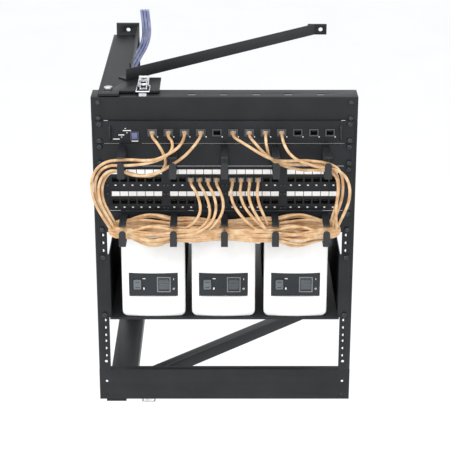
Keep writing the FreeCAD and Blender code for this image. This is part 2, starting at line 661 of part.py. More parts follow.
PATCH_ROUTES = {
    1: [(-63, 16, 151), (-63, 29, 151), (-54, 41, 143), (-46, 48, 125), (-44, 53, 106), (-53, 55, 88),
        (-68, 50, 74)],
    2: [(-47, 16, 151), (-47, 29, 151), (-38, 41, 142), (-29, 49, 122), (-26, 55, 101), (-35, 58, 83),
        (-50, 53, 69)],
    3: [(-31, 16, 151), (-31, 29, 151), (-22, 42, 141), (-15, 51, 120), (-17, 58, 100), (-27, 62, 83),
        (-43, 59, 70)],
    4: [(-15, 16, 151), (-15, 29, 151), (-7, 42, 140), (-1, 51, 120), (-5, 58, 101), (-17, 62, 85),
        (-28, 54, 71)],
    5: [(15, 16, 151), (15, 29, 151), (11, 41, 139), (16, 50, 119), (29, 57, 101), (45, 60, 85),
        (60, 55, 71)],
    6: [(31, 16, 151), (31, 29, 151), (28, 42, 139), (35, 51, 118), (49, 55, 99), (65, 56, 83), (76, 50, 68)],
    7: [(47, 16, 151), (47, 29, 151), (44, 44, 137), (50, 54, 116), (61, 61, 98), (72, 62, 81), (81, 57, 66)],
    8: [(63, 16, 151), (63, 29, 151), (60, 42, 139), (64, 50, 119), (72, 54, 101), (79, 51, 84),
        (82, 44, 70)],
}
# Each point is (x, distance in front of the wall, z)
CABLE_ROUTE = [(-174, 17, 374), (-171, 16, 346), (-170, 15, 320), (-177, 13, 295), (-191, 10, 272),
               (-203, 8, 248),
               (-209, 8, 220), (-211, 9, 190), (-210, 9, 160)]


def rounded_path(points):
    """Straight runs joined by tangent arcs, and the tightest radius."""
    edges = []
    at = points[0]
    tightest = 1e9
    for before, corner, after in zip(points, points[1:], points[2:]):
        into = corner - before
        out = after - corner
        half_turn = into.getAngle(out) / 2
        setback = 0.45 * min(into.Length, out.Length)
        radius = setback / math.tan(half_turn)
        tightest = min(tightest, radius)
        start = corner - V(into).normalize() * setback
        end = corner + V(out).normalize() * setback
        inward = (start + end) * 0.5 - corner
        middle = corner + V(inward).normalize() * (radius / math.cos(half_turn) - radius)
        edges.append(Part.LineSegment(at, start).toShape())
        edges.append(Part.Arc(start, middle, end).toShape())
        at = end
    edges.append(Part.LineSegment(at, points[-1]).toShape())
    return Part.Wire(edges), tightest


def cord_tube(points, radius, name):
    path, tightest = rounded_path(points)
    heading = points[1] - points[0]
    section = Part.Wire(Part.makeCircle(radius, points[0], heading))
    tube = path.makePipeShell([section], True, True)
    ideal = math.pi * radius ** 2 * path.Length
    ratio = tube.Volume / ideal
    print(f"{name}: {path.Length:.0f} mm, tightest radius {tightest:.1f} mm, volume ratio {ratio:.4f}")
    return tube


def from_gate(route):
    return [V(x, FRONT - forward, z) for x, forward, z in route]


def patch_cord(number):
    """The two stretches of one cord that aren't in the hank."""
    hub = cord_tube(from_gate(HUB_ROUTES[number]), CORD_R, f"cord {number} hub end")
    patch = cord_tube(from_gate(PATCH_ROUTES[number]), CORD_R, f"cord {number} panel end")
    return group([hub, patch])


# Each section of the slack is (x, half its height)
HANK_SIDES = 16
LEFT_HANK = [(-224, 5), (-217, 12), (-201, 14), (-180, 14), (-160, 27), (-137, 32), (-118, 27), (-104, 14),
             (-86, 14), (-70, 26), (-48, 31), (-28, 24), (-12, 14), (-0.2, 14)]
RIGHT_HANK = [(0.2, 14), (12, 14), (28, 24), (48, 31), (70, 26), (86, 14), (104, 14), (118, 27), (137, 32),
              (160, 27), (180, 14), (201, 14), (212, 12), (217, 5)]


def hank(sections):
    """Outer shape of the slack: narrow inside the rings and fuller between them."""
    middle = LOWER_TOP - UNIT / 2 - RING_DROP
    outlines = []
    for x, half_tall in sections:
        lift = max(0.0, half_tall - 14) * 0.2
        corners = []
        for i in range(HANK_SIDES + 1):
            a = 2 * math.pi * i / HANK_SIDES
            corners.append(V(x, FRONT - 36 + 27 * math.cos(a), middle + lift + half_tall * math.sin(a)))
        outlines.append(Part.makePolygon(corners))
    return Part.makeLoft(outlines, True, True)



def plug(x, z):
    """Modular plug with a tapered boot."""
    body = box(x - 5.8, x + 5.8, FRONT - 5, FRONT + 9, z - 4.0, z + 4.0)
    boot = Part.makeCone(4.6, 3.1, BOOT_END - 5, V(x, FRONT - 5, z), V(0, -1, 0))
    return fuse([body, boot])


def patch_cord_plugs():
    starts = [r[0] for r in HUB_ROUTES.values()] + [r[0] for r in PATCH_ROUTES.values()]
    return group([plug(x, z) for x, _, z in starts])


def building_cables():
    """Six house cables that come down into the wall channel."""
    cables = []
    for row in range(2):
        for i in range(3):
            points = [V(x + 6.5 * i, -out - 6.8 * row, z) for x, out, z in CABLE_ROUTE]
            cables.append(cord_tube(points, CABLE_R, f"building cable {3 * row + i + 1}"))
    return group(cables)


def main():
    os.makedirs("parts", exist_ok=True)
    save("left_rail", rail(-1))
    save("right_rail", rail(1))
    save("header_channel", header_channel())
    save("bottom_channel", bottom_channel())
    save("latch_keepers", latch_keepers())
    save("wall_channel", wall_channel())
    save("top_arm", top_arm())
    save("bottom_arm", mirrored(top_arm()))
    save("top_brace", top_brace())
    save("bottom_brace", mirrored(top_brace()))
    save("hinge_pins", hinge_pins())
    save("bracket_bolts", bracket_bolts())
    save("latch_bases", group([latch_base(), mirrored(latch_base())]))
    save("top_latch_lever", latch_lever())
    save("top_latch_bail", latch_bail())
    save("bottom_latch_lever", mirrored(latch_lever()))
    save("bottom_latch_bail", mirrored(latch_bail()))
    save("hub_face", hub_face())
    save("hub_chassis", hub_chassis())
    save("hub_jacks", hub_jacks())
    save("hub_board", hub_board())
    save("hub_button", hub_button())
    save("upper_manager_panel", manager_panel(UPPER_TOP))
    save("lower_manager_panel", manager_panel(LOWER_TOP))
    save("manager_rings", manager_rings())
    save("patch_plate", patch_plate())
    save("patch_jacks", patch_jacks())
    save("patch_labels", patch_labels())
    save("patch_blocks", patch_blocks())
    save("rack_screws", rack_screws())
    save("equipment_shelf", equipment_shelf())
    for number, x in enumerate(UPS_X, 1):
        save(f"ups_{number}_case", ups_case(x))
        save(f"ups_{number}_front", ups_front(x))
        save(f"ups_{number}_rocker", ups_rocker(x))
        save(f"ups_{number}_test_button", ups_test_button(x))
    save("ups_control_panels", group([control_panel(x) for x in UPS_X]))
    save("ups_batteries", group([ups_battery(x) for x in UPS_X]))
    save("ups_transformers", group([ups_transformer(x) for x in UPS_X]))
    save("ups_boards", group([ups_board(x) for x in UPS_X]))
    save("ups_rear_panels", group([ups_rear_panel(x) for x in UPS_X]))
    for number in HUB_ROUTES:
        save(f"patch_cord_{number}", patch_cord(number))
    save("left_hank", hank(LEFT_HANK))
    save("right_hank", hank(RIGHT_HANK))
    save("patch_cord_plugs", patch_cord_plugs())
    save("building_cables", building_cables())


main()
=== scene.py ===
# %% [markdown]
# # A wall-mount swing-gate rack with three small UPS units
#
# The real object is a folded steel gate, fourteen rack units tall, hinged on a bracket that is bolted to
# two studs. It carries a hub, two ring cable managers, a patch panel and a shelf with three UPS units, and
# eight patch cords join the hub to the panel, with their slack looped through the lower rings.
#
# The mechanical parts come ready made as a fixed frame. This script gives each of them its finish, rebuilds
# the parts whose edges and small details catch the eye, and lays the cords at their real length. Lengths
# are in metres, and names that end in _MM are in millimetres.

# %% Load the frame
import bpy
import json
import math
from mathutils import Matrix, Vector


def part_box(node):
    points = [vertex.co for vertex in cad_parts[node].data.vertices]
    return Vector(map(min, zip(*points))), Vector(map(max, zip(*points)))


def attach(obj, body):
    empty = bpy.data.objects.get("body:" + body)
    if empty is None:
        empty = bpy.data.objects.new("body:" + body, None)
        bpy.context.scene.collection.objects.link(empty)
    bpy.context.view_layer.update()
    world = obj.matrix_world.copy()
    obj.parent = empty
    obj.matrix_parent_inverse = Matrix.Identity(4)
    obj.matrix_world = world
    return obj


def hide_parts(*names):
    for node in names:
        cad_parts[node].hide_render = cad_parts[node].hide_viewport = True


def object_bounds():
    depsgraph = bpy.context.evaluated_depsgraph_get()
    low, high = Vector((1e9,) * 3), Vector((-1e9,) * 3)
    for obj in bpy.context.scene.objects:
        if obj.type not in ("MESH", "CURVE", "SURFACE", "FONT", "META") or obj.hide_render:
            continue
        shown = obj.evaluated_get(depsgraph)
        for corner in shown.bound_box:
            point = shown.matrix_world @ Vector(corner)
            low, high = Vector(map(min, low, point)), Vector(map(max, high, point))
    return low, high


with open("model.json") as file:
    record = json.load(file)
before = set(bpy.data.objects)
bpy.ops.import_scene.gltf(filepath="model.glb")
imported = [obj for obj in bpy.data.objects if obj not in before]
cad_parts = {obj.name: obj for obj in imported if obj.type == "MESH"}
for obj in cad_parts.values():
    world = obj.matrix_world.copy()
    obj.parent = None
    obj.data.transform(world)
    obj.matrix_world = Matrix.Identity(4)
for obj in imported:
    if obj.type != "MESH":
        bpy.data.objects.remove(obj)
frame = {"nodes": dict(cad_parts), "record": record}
cad_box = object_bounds()
MM = 0.001
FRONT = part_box("left_rail")[0][1]
print("front plane of the gate at y =", round(FRONT, 4))

# %% [markdown]
# ## Small helpers
#
# Every bpy.ops operator acts on the whole selection, so a step that models something starts by clearing it.
# Inside edit mode, faces are picked by where they are or which way they point, as a person would click them.
# Colours are written as sRGB hex values, the form a paint chart gives, and the renderer wants linear light,
# so one function converts them. One more function adds a shader node and connects it.

# %% Selection helpers
def clear_selection():
    if bpy.context.mode != "OBJECT":
        bpy.ops.object.mode_set(mode="OBJECT")
    bpy.ops.object.select_all(action="DESELECT")


def activate(piece):
    clear_selection()
    piece.select_set(True)
    bpy.context.view_layer.objects.active = piece


def pick(piece, kind, test):
    """Selects the faces, edges or vertices that pass a test, and nothing else, and stays in edit mode."""
    bpy.ops.object.mode_set(mode="EDIT")
    bpy.ops.mesh.select_mode(type={"faces": "FACE", "edges": "EDGE", "vertices": "VERT"}[kind])
    bpy.ops.mesh.select_all(action="DESELECT")
    bpy.ops.object.mode_set(mode="OBJECT")
    mesh = piece.data
    for item in getattr(mesh, {"faces": "polygons"}.get(kind, kind)):
        if kind == "edges":
            ends = [mesh.vertices[i].co for i in item.vertices]
            item.select = bool(test(*ends))
        else:
            item.select = bool(test(item))
    bpy.ops.object.mode_set(mode="EDIT")

# %% Modelling helpers
def settle(piece, name=None):
    """Puts a piece's place and turn into its mesh, so that its object sits at the origin."""
    activate(piece)
    bpy.ops.object.transform_apply(location=True, rotation=True, scale=True)
    if name:
        piece.name = name
    return piece


def modify(piece, kind, **settings):
    """Adds a modifier and applies it straight away."""
    activate(piece)
    bpy.ops.object.modifier_add(type=kind)
    modifier = piece.modifiers[-1]
    for key, value in settings.items():
        setattr(modifier, key, value)
    bpy.ops.object.modifier_apply(modifier=modifier.name)


def smooth(piece, degrees):
    activate(piece)
    bpy.ops.object.shade_smooth_by_angle(angle=math.radians(degrees))


def join(pieces, name):
    clear_selection()
    for piece in pieces:
        piece.select_set(True)
    bpy.context.view_layer.objects.active = pieces[0]
    bpy.ops.object.join()
    pieces[0].name = name
    return pieces[0]


def block(name, low, high):
    """A cube primitive that fills a box, with its place in its mesh."""
    clear_selection()
    low, high = Vector(low), Vector(high)
    bpy.ops.mesh.primitive_cube_add(size=1, location=(low + high) / 2)
    piece = bpy.context.object
    piece.scale = high - low
    return settle(piece, name)


def copy_of(piece, name, shift):
    """A copy with its own mesh, moved by a vector."""
    twin = bpy.data.objects.new(name, piece.data.copy())
    bpy.context.scene.collection.objects.link(twin)
    twin.data.transform(Matrix.Translation(Vector(shift)))
    return twin

# %% Shader helpers
def srgb(code):
    channels = [int(code[i:i + 2], 16) / 255 for i in (1, 3, 5)]
    linear = [c / 12.92 if c <= 0.04045 else ((c + 0.055) / 1.055) ** 2.4 for c in channels]
    return (*linear, 1.0)


def add(material, kind, inputs=None, settings=None):
    """Adds a shader node. An input is a plain value or the socket that feeds it."""
    node = material.node_tree.nodes.new("ShaderNode" + kind)
    for key, value in (settings or {}).items():
        setattr(node, key, value)
    for key, value in (inputs or {}).items():
        if isinstance(value, bpy.types.NodeSocket):
            material.node_tree.links.new(value, node.inputs[key])
        else:
            node.inputs[key].default_value = value
    return node


def new_material(name, **shader_inputs):
    """A material with plain values on its shader's own sockets, with its shader and coordinates."""
    material = bpy.data.materials.new(name)
    material.use_nodes = True
    shader = material.node_tree.nodes["Principled BSDF"]
    for key, value in shader_inputs.items():
        shader.inputs[key.replace("_", " ")].default_value = value
    place = add(material, "TexCoord").outputs["Object"]
    return material, shader, place


def per_metre(size_mm):
    """The texture scale that makes one feature of a pattern about this many millimetres across."""
    return 1000 / size_mm


def feed(material, shader, name, socket):
    material.node_tree.links.new(socket, shader.inputs[name])


def two_tones(material, factor, low_tone, high_tone, low_at=0.3, high_at=0.7):
    ramp = add(material, "ValToRGB", {"Fac": factor})
    ramp.color_ramp.elements[0].position = low_at
    ramp.color_ramp.elements[0].color = srgb(low_tone)
    ramp.color_ramp.elements[1].position = high_at
    ramp.color_ramp.elements[1].color = srgb(high_tone)
    return ramp.outputs["Color"]


def ranged(material, factor, low, high):
    return add(material, "MapRange", {"Value": factor, "To Min": low, "To Max": high}).outputs["Result"]


def noise(material, place, size_mm, detail=2.0):
    inputs = {"Vector": place, "Scale": per_metre(size_mm), "Detail": detail}
    return add(material, "TexNoise", inputs).outputs["Fac"]


def relief(material, shader, height, depth_mm, strength):
    inputs = {"Height": height, "Distance": depth_mm * MM, "Strength": strength}
    feed(material, shader, "Normal", add(material, "Bump", inputs).outputs["Normal"])

# %% [markdown]
# ## Powder coat
#
# The gate, bracket, panels and shelf are mild steel with a baked black polyester powder. The film melts as
# it cures and leaves a fine orange peel, with pores well under a millimetre, and it is never quite black:
# it gives back a cool dark grey. The peel is drawn about twice its real size, or it would not show.

# %% Powder coat material
COAT_SHEEN = 0.28                 # a clean skin has 0.5; the peel and fine dust take the edge off it


def powder_coat(name, low_tone, high_tone, rough=(0.40, 0.52)):
    material, shader, place = new_material(name, IOR=1.5, Specular_IOR_Level=COAT_SHEEN)
    cloud = noise(material, place, 60, 3.0)
    feed(material, shader, "Base Color", two_tones(material, cloud, low_tone, high_tone))
    peel = noise(material, place, 1.4, 2.0)
    feed(material, shader, "Roughness", ranged(material, peel, *rough))
    relief(material, shader, peel, 0.12, 0.35)
    return material


BLACK_COAT = powder_coat("black_polyester_powder_coat", "#1d1f21", "#25272a")
PANEL_COAT = powder_coat("panel_powder_coat", "#1b1d20", "#23262a", (0.36, 0.48))
print("powder coats:", BLACK_COAT.name, PANEL_COAT.name)

# %% [markdown]
# ## Plated and oiled steel
#
# The latches and hinge bolts are bright zinc plate over pressed steel: a metal, so its colour is in its
# reflection, with faint cloudy patches where the plating bath left thicker zinc. The rack screws are black
# oxide, which is nearly the same steel with a dark, oily skin.

# %% Metals
def plated(name, low_tone, high_tone, rough, patch_mm=6):
    material, shader, place = new_material(name, Metallic=1.0)
    patches = noise(material, place, patch_mm, 4.0)
    feed(material, shader, "Base Color", two_tones(material, patches, low_tone, high_tone))
    feed(material, shader, "Roughness", ranged(material, patches, *rough))
    relief(material, shader, noise(material, place, 0.8, 2.0), 0.05, 0.3)
    return material


ZINC = plated("bright_zinc_plate", "#c3c6ca", "#eceef0", (0.16, 0.30))
BLACK_OXIDE = plated("black_oxide_steel", "#3c3e42", "#5a5d61", (0.28, 0.42), 3)
# The contacts' gold is darkened all over: painted shade, for the dark inside of the sockets.
SHADED_GOLD = plated("gold_contacts_with_painted_shade", "#86652c", "#a98a4a", (0.18, 0.28), 2)
print("metals:", ZINC.name, BLACK_OXIDE.name, SHADED_GOLD.name)

# %% [markdown]
# ## Moulded plastics
#
# The cable rings, jacks and control panels are ABS, moulded against a spark-eroded steel tool, which leaves
# an even matt grain. The UPS housings are the same plastic in white. Plastic scatters a little light under
# its skin, which softens the white ones.

# %% Plastics
def moulded(name, low_tone, high_tone, rough, grain_mm=0.9, depth_mm=0.05, glow=0.0, sheen=0.35):
    """The spark-eroded grain dulls the skin, so its sheen is under the usual 0.5."""
    material, shader, place = new_material(name, IOR=1.53, Subsurface_Weight=glow, Specular_IOR_Level=sheen)
    shader.inputs["Subsurface Scale"].default_value = 1.5 * MM
    cloud = noise(material, place, 40)
    feed(material, shader, "Base Color", two_tones(material, cloud, low_tone, high_tone))
    grain = noise(material, place, grain_mm, 1.0)
    feed(material, shader, "Roughness", ranged(material, grain, *rough))
    relief(material, shader, grain, depth_mm, 0.4)
    return material


BLACK_ABS = moulded("moulded_black_abs", "#232527", "#2d2f32", (0.34, 0.46))
SOCKET_ABS = moulded("socket_black_abs", "#141517", "#1b1d1f", (0.30, 0.42), 0.6)
CONTROL_ABS = moulded("control_panel_grey_abs", "#202427", "#282c30", (0.42, 0.55))
FRAME_ABS = moulded("switch_frame_grey_abs", "#686d71", "#787d81", (0.36, 0.48))
BUTTON_ABS = moulded("button_grey_abs", "#5d6367", "#6d7377", (0.40, 0.52))
ROCKER_ABS = moulded("rocker_dark_grey_abs", "#484c50", "#555a5e", (0.30, 0.42))
WHITE_ABS = moulded("moulded_white_abs", "#eeeeec", "#f8f8f6", (0.34, 0.44), 1.0, 0.05, 0.08, 0.5)
BLUE_ABS = moulded("button_blue_abs", "#6a6d96", "#7d80a8", (0.28, 0.36))
# The cases are dark charcoal all over, as dark as the narrow gaps between the units.
DARK_CASE = powder_coat("dark_charcoal_case", "#1f2123", "#27292c", (0.42, 0.55))
BATTERY_ABS = moulded("battery_case_abs", "#3a3c3f", "#46494d", (0.4, 0.5))
BEZEL_ABS = moulded("port_bezel_grey_abs", "#4d5155", "#5a5e62", (0.28, 0.40))
BOOT_PVC = moulded("tan_plug_boot_pvc", "#c29468", "#d6b188", (0.34, 0.44), 0.8, 0.04, 0.05)
print("materials so far:", len(bpy.data.materials))

# %% [markdown]
# ## Print, card, boards and windings
#
# Screen-printed ink and the label cards are white with a paper tooth. The circuit boards have a green
# solder mask over copper tracks, so the green is darker between the tracks. The transformer's core is a
# stack of half-millimetre plates, drawn as bands across its side.

# %% Print, boards and windings
def printed(name, low_tone, high_tone):
    material, shader, place = new_material(name, IOR=1.45)
    tooth = noise(material, place, 0.7, 3.0)
    feed(material, shader, "Base Color", two_tones(material, tooth, low_tone, high_tone))
    feed(material, shader, "Roughness", ranged(material, tooth, 0.5, 0.66))
    relief(material, shader, tooth, 0.03, 0.4)
    return material


def circuit_board():
    material, shader, place = new_material("green_solder_mask", IOR=1.55)
    tracks = add(material, "TexBrick", {"Vector": place, "Scale": per_metre(9), "Mortar Size": 0.03})
    tracks.inputs["Color1"].default_value = srgb("#1d5a35")
    tracks.inputs["Color2"].default_value = srgb("#236b3f")
    tracks.inputs["Mortar"].default_value = srgb("#123c24")
    feed(material, shader, "Base Color", tracks.outputs["Color"])
    feed(material, shader, "Roughness", ranged(material, noise(material, place, 3), 0.25, 0.4))
    relief(material, shader, tracks.outputs["Fac"], 0.1, 0.4)
    return material


def laminated_core():
    material, shader, place = new_material("laminated_core_steel", Metallic=1.0)
    bands = add(material, "TexWave", {"Vector": place, "Scale": per_metre(6.3), "Distortion": 0.0},
                {"bands_direction": "Y"}).outputs["Fac"]
    feed(material, shader, "Base Color", two_tones(material, bands, "#4d4a48", "#8d8a86", 0.35, 0.6))
    feed(material, shader, "Roughness", ranged(material, bands, 0.55, 0.35))
    relief(material, shader, bands, 0.2, 0.5)
    return material


def clear_plastic():
    """Clear polycarbonate: one tint and gloss all over, with faint flow lines from the mould."""
    material, shader, place = new_material("clear_polycarbonate", Roughness=0.12, IOR=1.58,
                                           Transmission_Weight=0.7)
    flow = noise(material, place, 4, 2.0)
    feed(material, shader, "Base Color", two_tones(material, flow, "#b9bcbc", "#d9dcdc"))
    relief(material, shader, flow, 0.05, 0.3)
    return material


WHITE_PRINT = printed("white_screen_print", "#e9e9e6", "#f6f6f4")
LABEL_CARD = printed("white_label_card", "#f1f1ee", "#fbfbfa")
BOARD = circuit_board()
CORE = laminated_core()
print("print, boards and windings:", WHITE_PRINT.name, LABEL_CARD.name, BOARD.name, CORE.name)

# %% [markdown]
# ## Cord jackets
#
# A patch cord is four twisted pairs in a soft PVC jacket, here tan. The extruder leaves the surface smooth,
# with faint long streaks and scuffs from handling. The pairs inside show as a slow ripple, and the jacket
# is a little translucent, so its shaded side stays warm.

# %% Jackets
def jacket(name, shade_tone, mid_tone, rough):
    material, shader, place = new_material(name, IOR=1.52, Subsurface_Weight=0.1)
    shader.inputs["Subsurface Scale"].default_value = 1.2 * MM
    shader.inputs["Subsurface Radius"].default_value = (1.0, 0.6, 0.35)
    streaks = noise(material, place, 14, 3.0)
    feed(material, shader, "Base Color", two_tones(material, streaks, shade_tone, mid_tone))
    feed(material, shader, "Roughness", ranged(material, noise(material, place, 3), *rough))
    relief(material, shader, noise(material, place, 5, 1.0), 0.25, 0.3)
    return material


TAN_PVC = jacket("tan_pvc_jacket", "#c0905f", "#e8c99f", (0.26, 0.38))
LAVENDER_PVC = jacket("lavender_pvc_jacket", "#7d84ad", "#a3a9c9", (0.34, 0.46))
print("jackets:", TAN_PVC.name, LAVENDER_PVC.name)

# %% [markdown]
# ## Camera and light
#
# The object is looked at from in front and above, so that the tops of the rings and the wall bracket show.
# A long lens keeps the gate's sides nearly parallel. The light is a large soft source above the front, as in
# a product studio, a weaker one from the left, and a white surround that fills the shadows.

# %% Camera
CAMERA_DISTANCE = 2.9
CAMERA_ELEVATION = 21.0
aim = Vector((0.001, FRONT, 0.059))
tilt = math.radians(CAMERA_ELEVATION)
camera_data = bpy.data.cameras.new("camera")
camera = bpy.data.objects.new("camera", camera_data)
bpy.context.scene.collection.objects.link(camera)
camera.location = aim + CAMERA_DISTANCE * Vector((0, -math.cos(tilt), math.sin(tilt)))
camera.rotation_euler = (math.radians(90) - tilt, 0, 0)
camera_data.sensor_width = 36
camera_data.lens = 122
bpy.context.scene.camera = camera
bpy.context.scene.view_settings.view_transform = "Standard"

# %% Floor, surround and lamps
FLOOR_DROP = 0.75
clear_selection()
bpy.ops.mesh.primitive_plane_add(size=24, location=(0, 0, cad_box[0][2] - FLOOR_DROP))
floor = bpy.context.object
floor.name = "studio_floor"
floor_paint, floor_shader, floor_place = new_material("pale_floor_paint")
feed(floor_paint, floor_shader, "Base Color",
     two_tones(floor_paint, noise(floor_paint, floor_place, 400), "#f7f7f6", "#f9f9f9"))
floor_shader.inputs["Roughness"].default_value = 0.9
floor.data.materials.append(floor_paint)

world = bpy.data.worlds.new("white_surround")
bpy.context.scene.world = world
world.use_nodes = True
world.node_tree.nodes["Background"].inputs["Color"].default_value = srgb("#fcfdff")
world.node_tree.nodes["Background"].inputs["Strength"].default_value = 1.05


def softbox(name, place, watts, size):
    lamp = bpy.data.lights.new(name, "AREA")
    lamp.energy = watts
    lamp.size = size
    holder = bpy.data.objects.new(name, lamp)
    bpy.context.scene.collection.objects.link(holder)
    holder.location = place
    holder.rotation_euler = (Vector((0, FRONT, 0)) - Vector(place)).to_track_quat("-Z", "Y").to_euler()


softbox("key_softbox", (-0.4, -2.0, 2.4), 26, 1.3)
softbox("side_softbox", (-2.2, -1.6, 0.9), 16, 1.2)
softbox("rim_softbox", (2.6, -0.9, 0.4), 10, 1.0)
print("camera at", [round(c, 3) for c in camera.location])

# %% [markdown]
# ## Patch cords
#
# Each cord is one length of cable, so it is one smooth spline: it leaves a hub port, droops over the upper
# rings, comes down beside the panel, makes three loops in the lower rings, and rises to its jack. The two
# free stretches follow chosen points. The loops are worked out: a turn runs inwards at the front of the
# rings and back behind it, is squeezed at each ring and swells between the rings, and each strand has its
# own height and depth, so that they fan out as loosely coiled cable does. A turn folds back in a half circle
# more than three cord thicknesses in radius, because a tighter one would crush the pairs inside.

# %% Cord routes
# Each point is across, in front of the gate's face, and up, in millimetres.
HUB_ROUTES = {
    1: [(-134, 16, 244), (-134, 30, 244), (-122, 44, 235), (-111, 50, 217), (-107, 46, 198), (-116, 46, 182),
        (-138, 46, 172), (-164, 47, 176), (-190, 48, 185), (-210, 50, 183), (-222, 52, 169), (-227, 52, 149),
        (-225, 52, 127), (-217, 50, 107), (-208, 46, 88), (-200, 41, 68)],
    2: [(-104, 16, 244), (-104, 30, 244), (-95, 46, 240), (-95, 61, 229), (-108, 66, 217), (-129, 64, 207),
        (-158, 60, 200), (-190, 57, 197), (-212, 55, 198), (-230, 53, 186), (-239, 53, 165), (-239, 53, 141),
        (-232, 51, 119), (-222, 47, 98), (-210, 43, 71)],
    3: [(-74, 16, 244), (-74, 31, 244), (-77, 48, 240), (-86, 63, 232), (-104, 71, 223), (-124, 69, 213),
        (-146, 63, 209), (-168, 57, 209), (-190, 53, 207), (-215, 56, 206), (-235, 58, 193), (-245, 59, 171),
        (-245, 59, 146), (-239, 58, 122), (-228, 55, 99), (-214, 49, 71)],
    4: [(-44, 16, 244), (-44, 30, 244), (-52, 44, 236), (-65, 52, 222), (-80, 54, 209), (-95, 53, 199),
        (-110, 54, 189), (-128, 56, 181), (-149, 57, 177), (-170, 57, 179), (-190, 57, 187), (-211, 58, 189),
        (-226, 59, 176), (-233, 59, 155), (-231, 59, 132), (-224, 57, 111), (-214, 53, 90), (-205, 47, 69)],
    5: [(16, 16, 244), (16, 30, 244), (33, 45, 238), (54, 54, 227), (76, 54, 213), (97, 48, 204),
        (118, 45, 202), (142, 46, 204), (166, 48, 203), (190, 50, 200), (208, 52, 192), (217, 53, 176),
        (219, 54, 155), (218, 54, 133), (212, 52, 112), (206, 49, 91), (203, 45, 68)],
    6: [(46, 16, 244), (46, 30, 244), (57, 43, 235), (70, 45, 220), (83, 40, 206), (99, 36, 197),
        (118, 37, 193), (142, 41, 195), (166, 43, 195), (190, 44, 192), (203, 46, 184), (210, 47, 169),
        (212, 47, 149), (210, 47, 128), (206, 44, 108), (201, 41, 89), (199, 36, 68)],
    7: [(76, 16, 244), (76, 29, 244), (76.5, 39, 233), (79.5, 38, 220), (82, 33, 207), (92, 27, 195),
        (108, 25, 187), (127, 31, 183), (147, 38, 182), (168, 43, 184), (192, 48, 185), (207, 54, 175),
        (210, 58, 157), (209, 59, 138), (207, 59, 118), (207, 57, 96), (210, 50, 68)],
    8: [(106, 16, 244), (106, 31, 244), (109, 46, 235), (118, 54, 220), (134, 56, 207), (154, 56, 200),
        (174, 58, 194), (193, 59, 193), (212, 60, 188), (226, 60, 173), (232, 60, 151), (230, 60, 127),
        (223, 58, 106), (216, 52, 87), (211, 43, 70)],
}
PANEL_ROUTES = {
    1: [(-63, 16, 151), (-63, 29, 151), (-54, 41, 143), (-46, 48, 125), (-44, 53, 106), (-53, 55, 88),
        (-68, 50, 74)],
    2: [(-47, 16, 151), (-47, 29, 151), (-38, 41, 142), (-29, 49, 122), (-26, 55, 101), (-35, 58, 83),
        (-50, 53, 69)],
    3: [(-31, 16, 151), (-31, 29, 151), (-22, 42, 141), (-15, 51, 120), (-17, 58, 100), (-27, 62, 83),
        (-43, 59, 70)],
    4: [(-15, 16, 151), (-15, 29, 151), (-7, 42, 140), (-1, 51, 120), (-5, 58, 101), (-17, 62, 85),
        (-28, 54, 71)],
    5: [(15, 16, 151), (15, 29, 151), (11, 41, 139), (16, 50, 119), (29, 57, 101), (45, 60, 85),
        (60, 55, 71)],
    6: [(31, 16, 151), (31, 29, 151), (28, 42, 139), (35, 51, 118), (49, 55, 99), (65, 56, 83),
        (76, 50, 68)],
    7: [(47, 16, 151), (47, 29, 151), (44, 44, 137), (50, 54, 116), (61, 61, 98), (72, 62, 81),
        (81, 57, 66)],
    8: [(63, 16, 151), (63, 29, 151), (60, 42, 139), (64, 50, 119), (72, 54, 101), (79, 51, 84),
        (82, 44, 70)],
}
print("routes:", len(HUB_ROUTES), "from the hub and", len(PANEL_ROUTES), "from the patch panel")

# %% Where a strand lies in the rings
RING_STEP_MM = 95
RING_HALF_HEIGHT = 14.5
HANK_MIDDLE = (35, 62.7)          # out from the gate's face, and up
HANK_HALF_DEPTH = 23
SWELL_HALF_HEIGHT = 14.5          # what a swell adds to the hank's half height
SAG = 1.5
STRAND_STEP = 20
FADE = 75


def swelling(x_mm):
    """0 inside a ring; between two rings it rises to 1 in the outer space and to 0.3 in the inner one."""
    full = 1.0 if x_mm > RING_STEP_MM else 0.3
    return full * abs(math.sin(math.pi * x_mm / RING_STEP_MM)) ** 1.4


def in_hank(x_mm, level, depth, phase):
    """Out and up of a strand. Level is -1 at the bottom and 1 at the top, depth -1 behind and 1 in front."""
    # A slow wave and a quick one keep the strands from lying like combed hair.
    wander = 0.22 * math.sin(x_mm / 41 + phase) + 0.05 * math.sin(x_mm / 19 + 3 * phase)
    level = level + wander * (1 - 0.6 * abs(level))
    swell = swelling(min(x_mm, 2 * RING_STEP_MM))
    up = HANK_MIDDLE[1] - SAG * swell + (RING_HALF_HEIGHT + SWELL_HALF_HEIGHT * swell) * level
    out = HANK_MIDDLE[0] + HANK_HALF_DEPTH * depth * math.sqrt(1 - 0.3 * min(1, level ** 2))
    return out + 1.4 * math.sin(x_mm / 23 + 2 * phase), up


def strand(start, finish, level, depth, phase):
    """Points between two ends. What the ends are off the strand's own place fades out along it."""
    length = abs(finish[0] - start[0])
    count = max(1, round(length / STRAND_STEP) - 1)
    points = []
    for i in range(1, count + 1):
        x_mm = start[0] + (finish[0] - start[0]) * i / (count + 1)
        place = list(in_hank(x_mm, level, depth, phase))
        for end in (start, finish):
            own = in_hank(end[0], level, depth, phase)
            near = max(0.0, 1 - abs(x_mm - end[0]) / FADE)
            near = near * near * (3 - 2 * near)
            place = [p + near * (e - o) for p, e, o in zip(place, end[1:], own)]
        points.append((x_mm, *place))
    return points

# %% How a turn folds back
FOLD_RADIUS = 19
FOLD_HALF_HEIGHT = 0.8            # as a share of a ring's, since the folds lie close together
MOST_LEAN = 12
# Six corners of the octagon drawn round a circle: along the rings, and across them.
HALF_CIRCLE = ((-0.414, 1), (0.414, 1), (1, 0.414), (1, -0.414), (0.414, -1), (-0.414, -1))


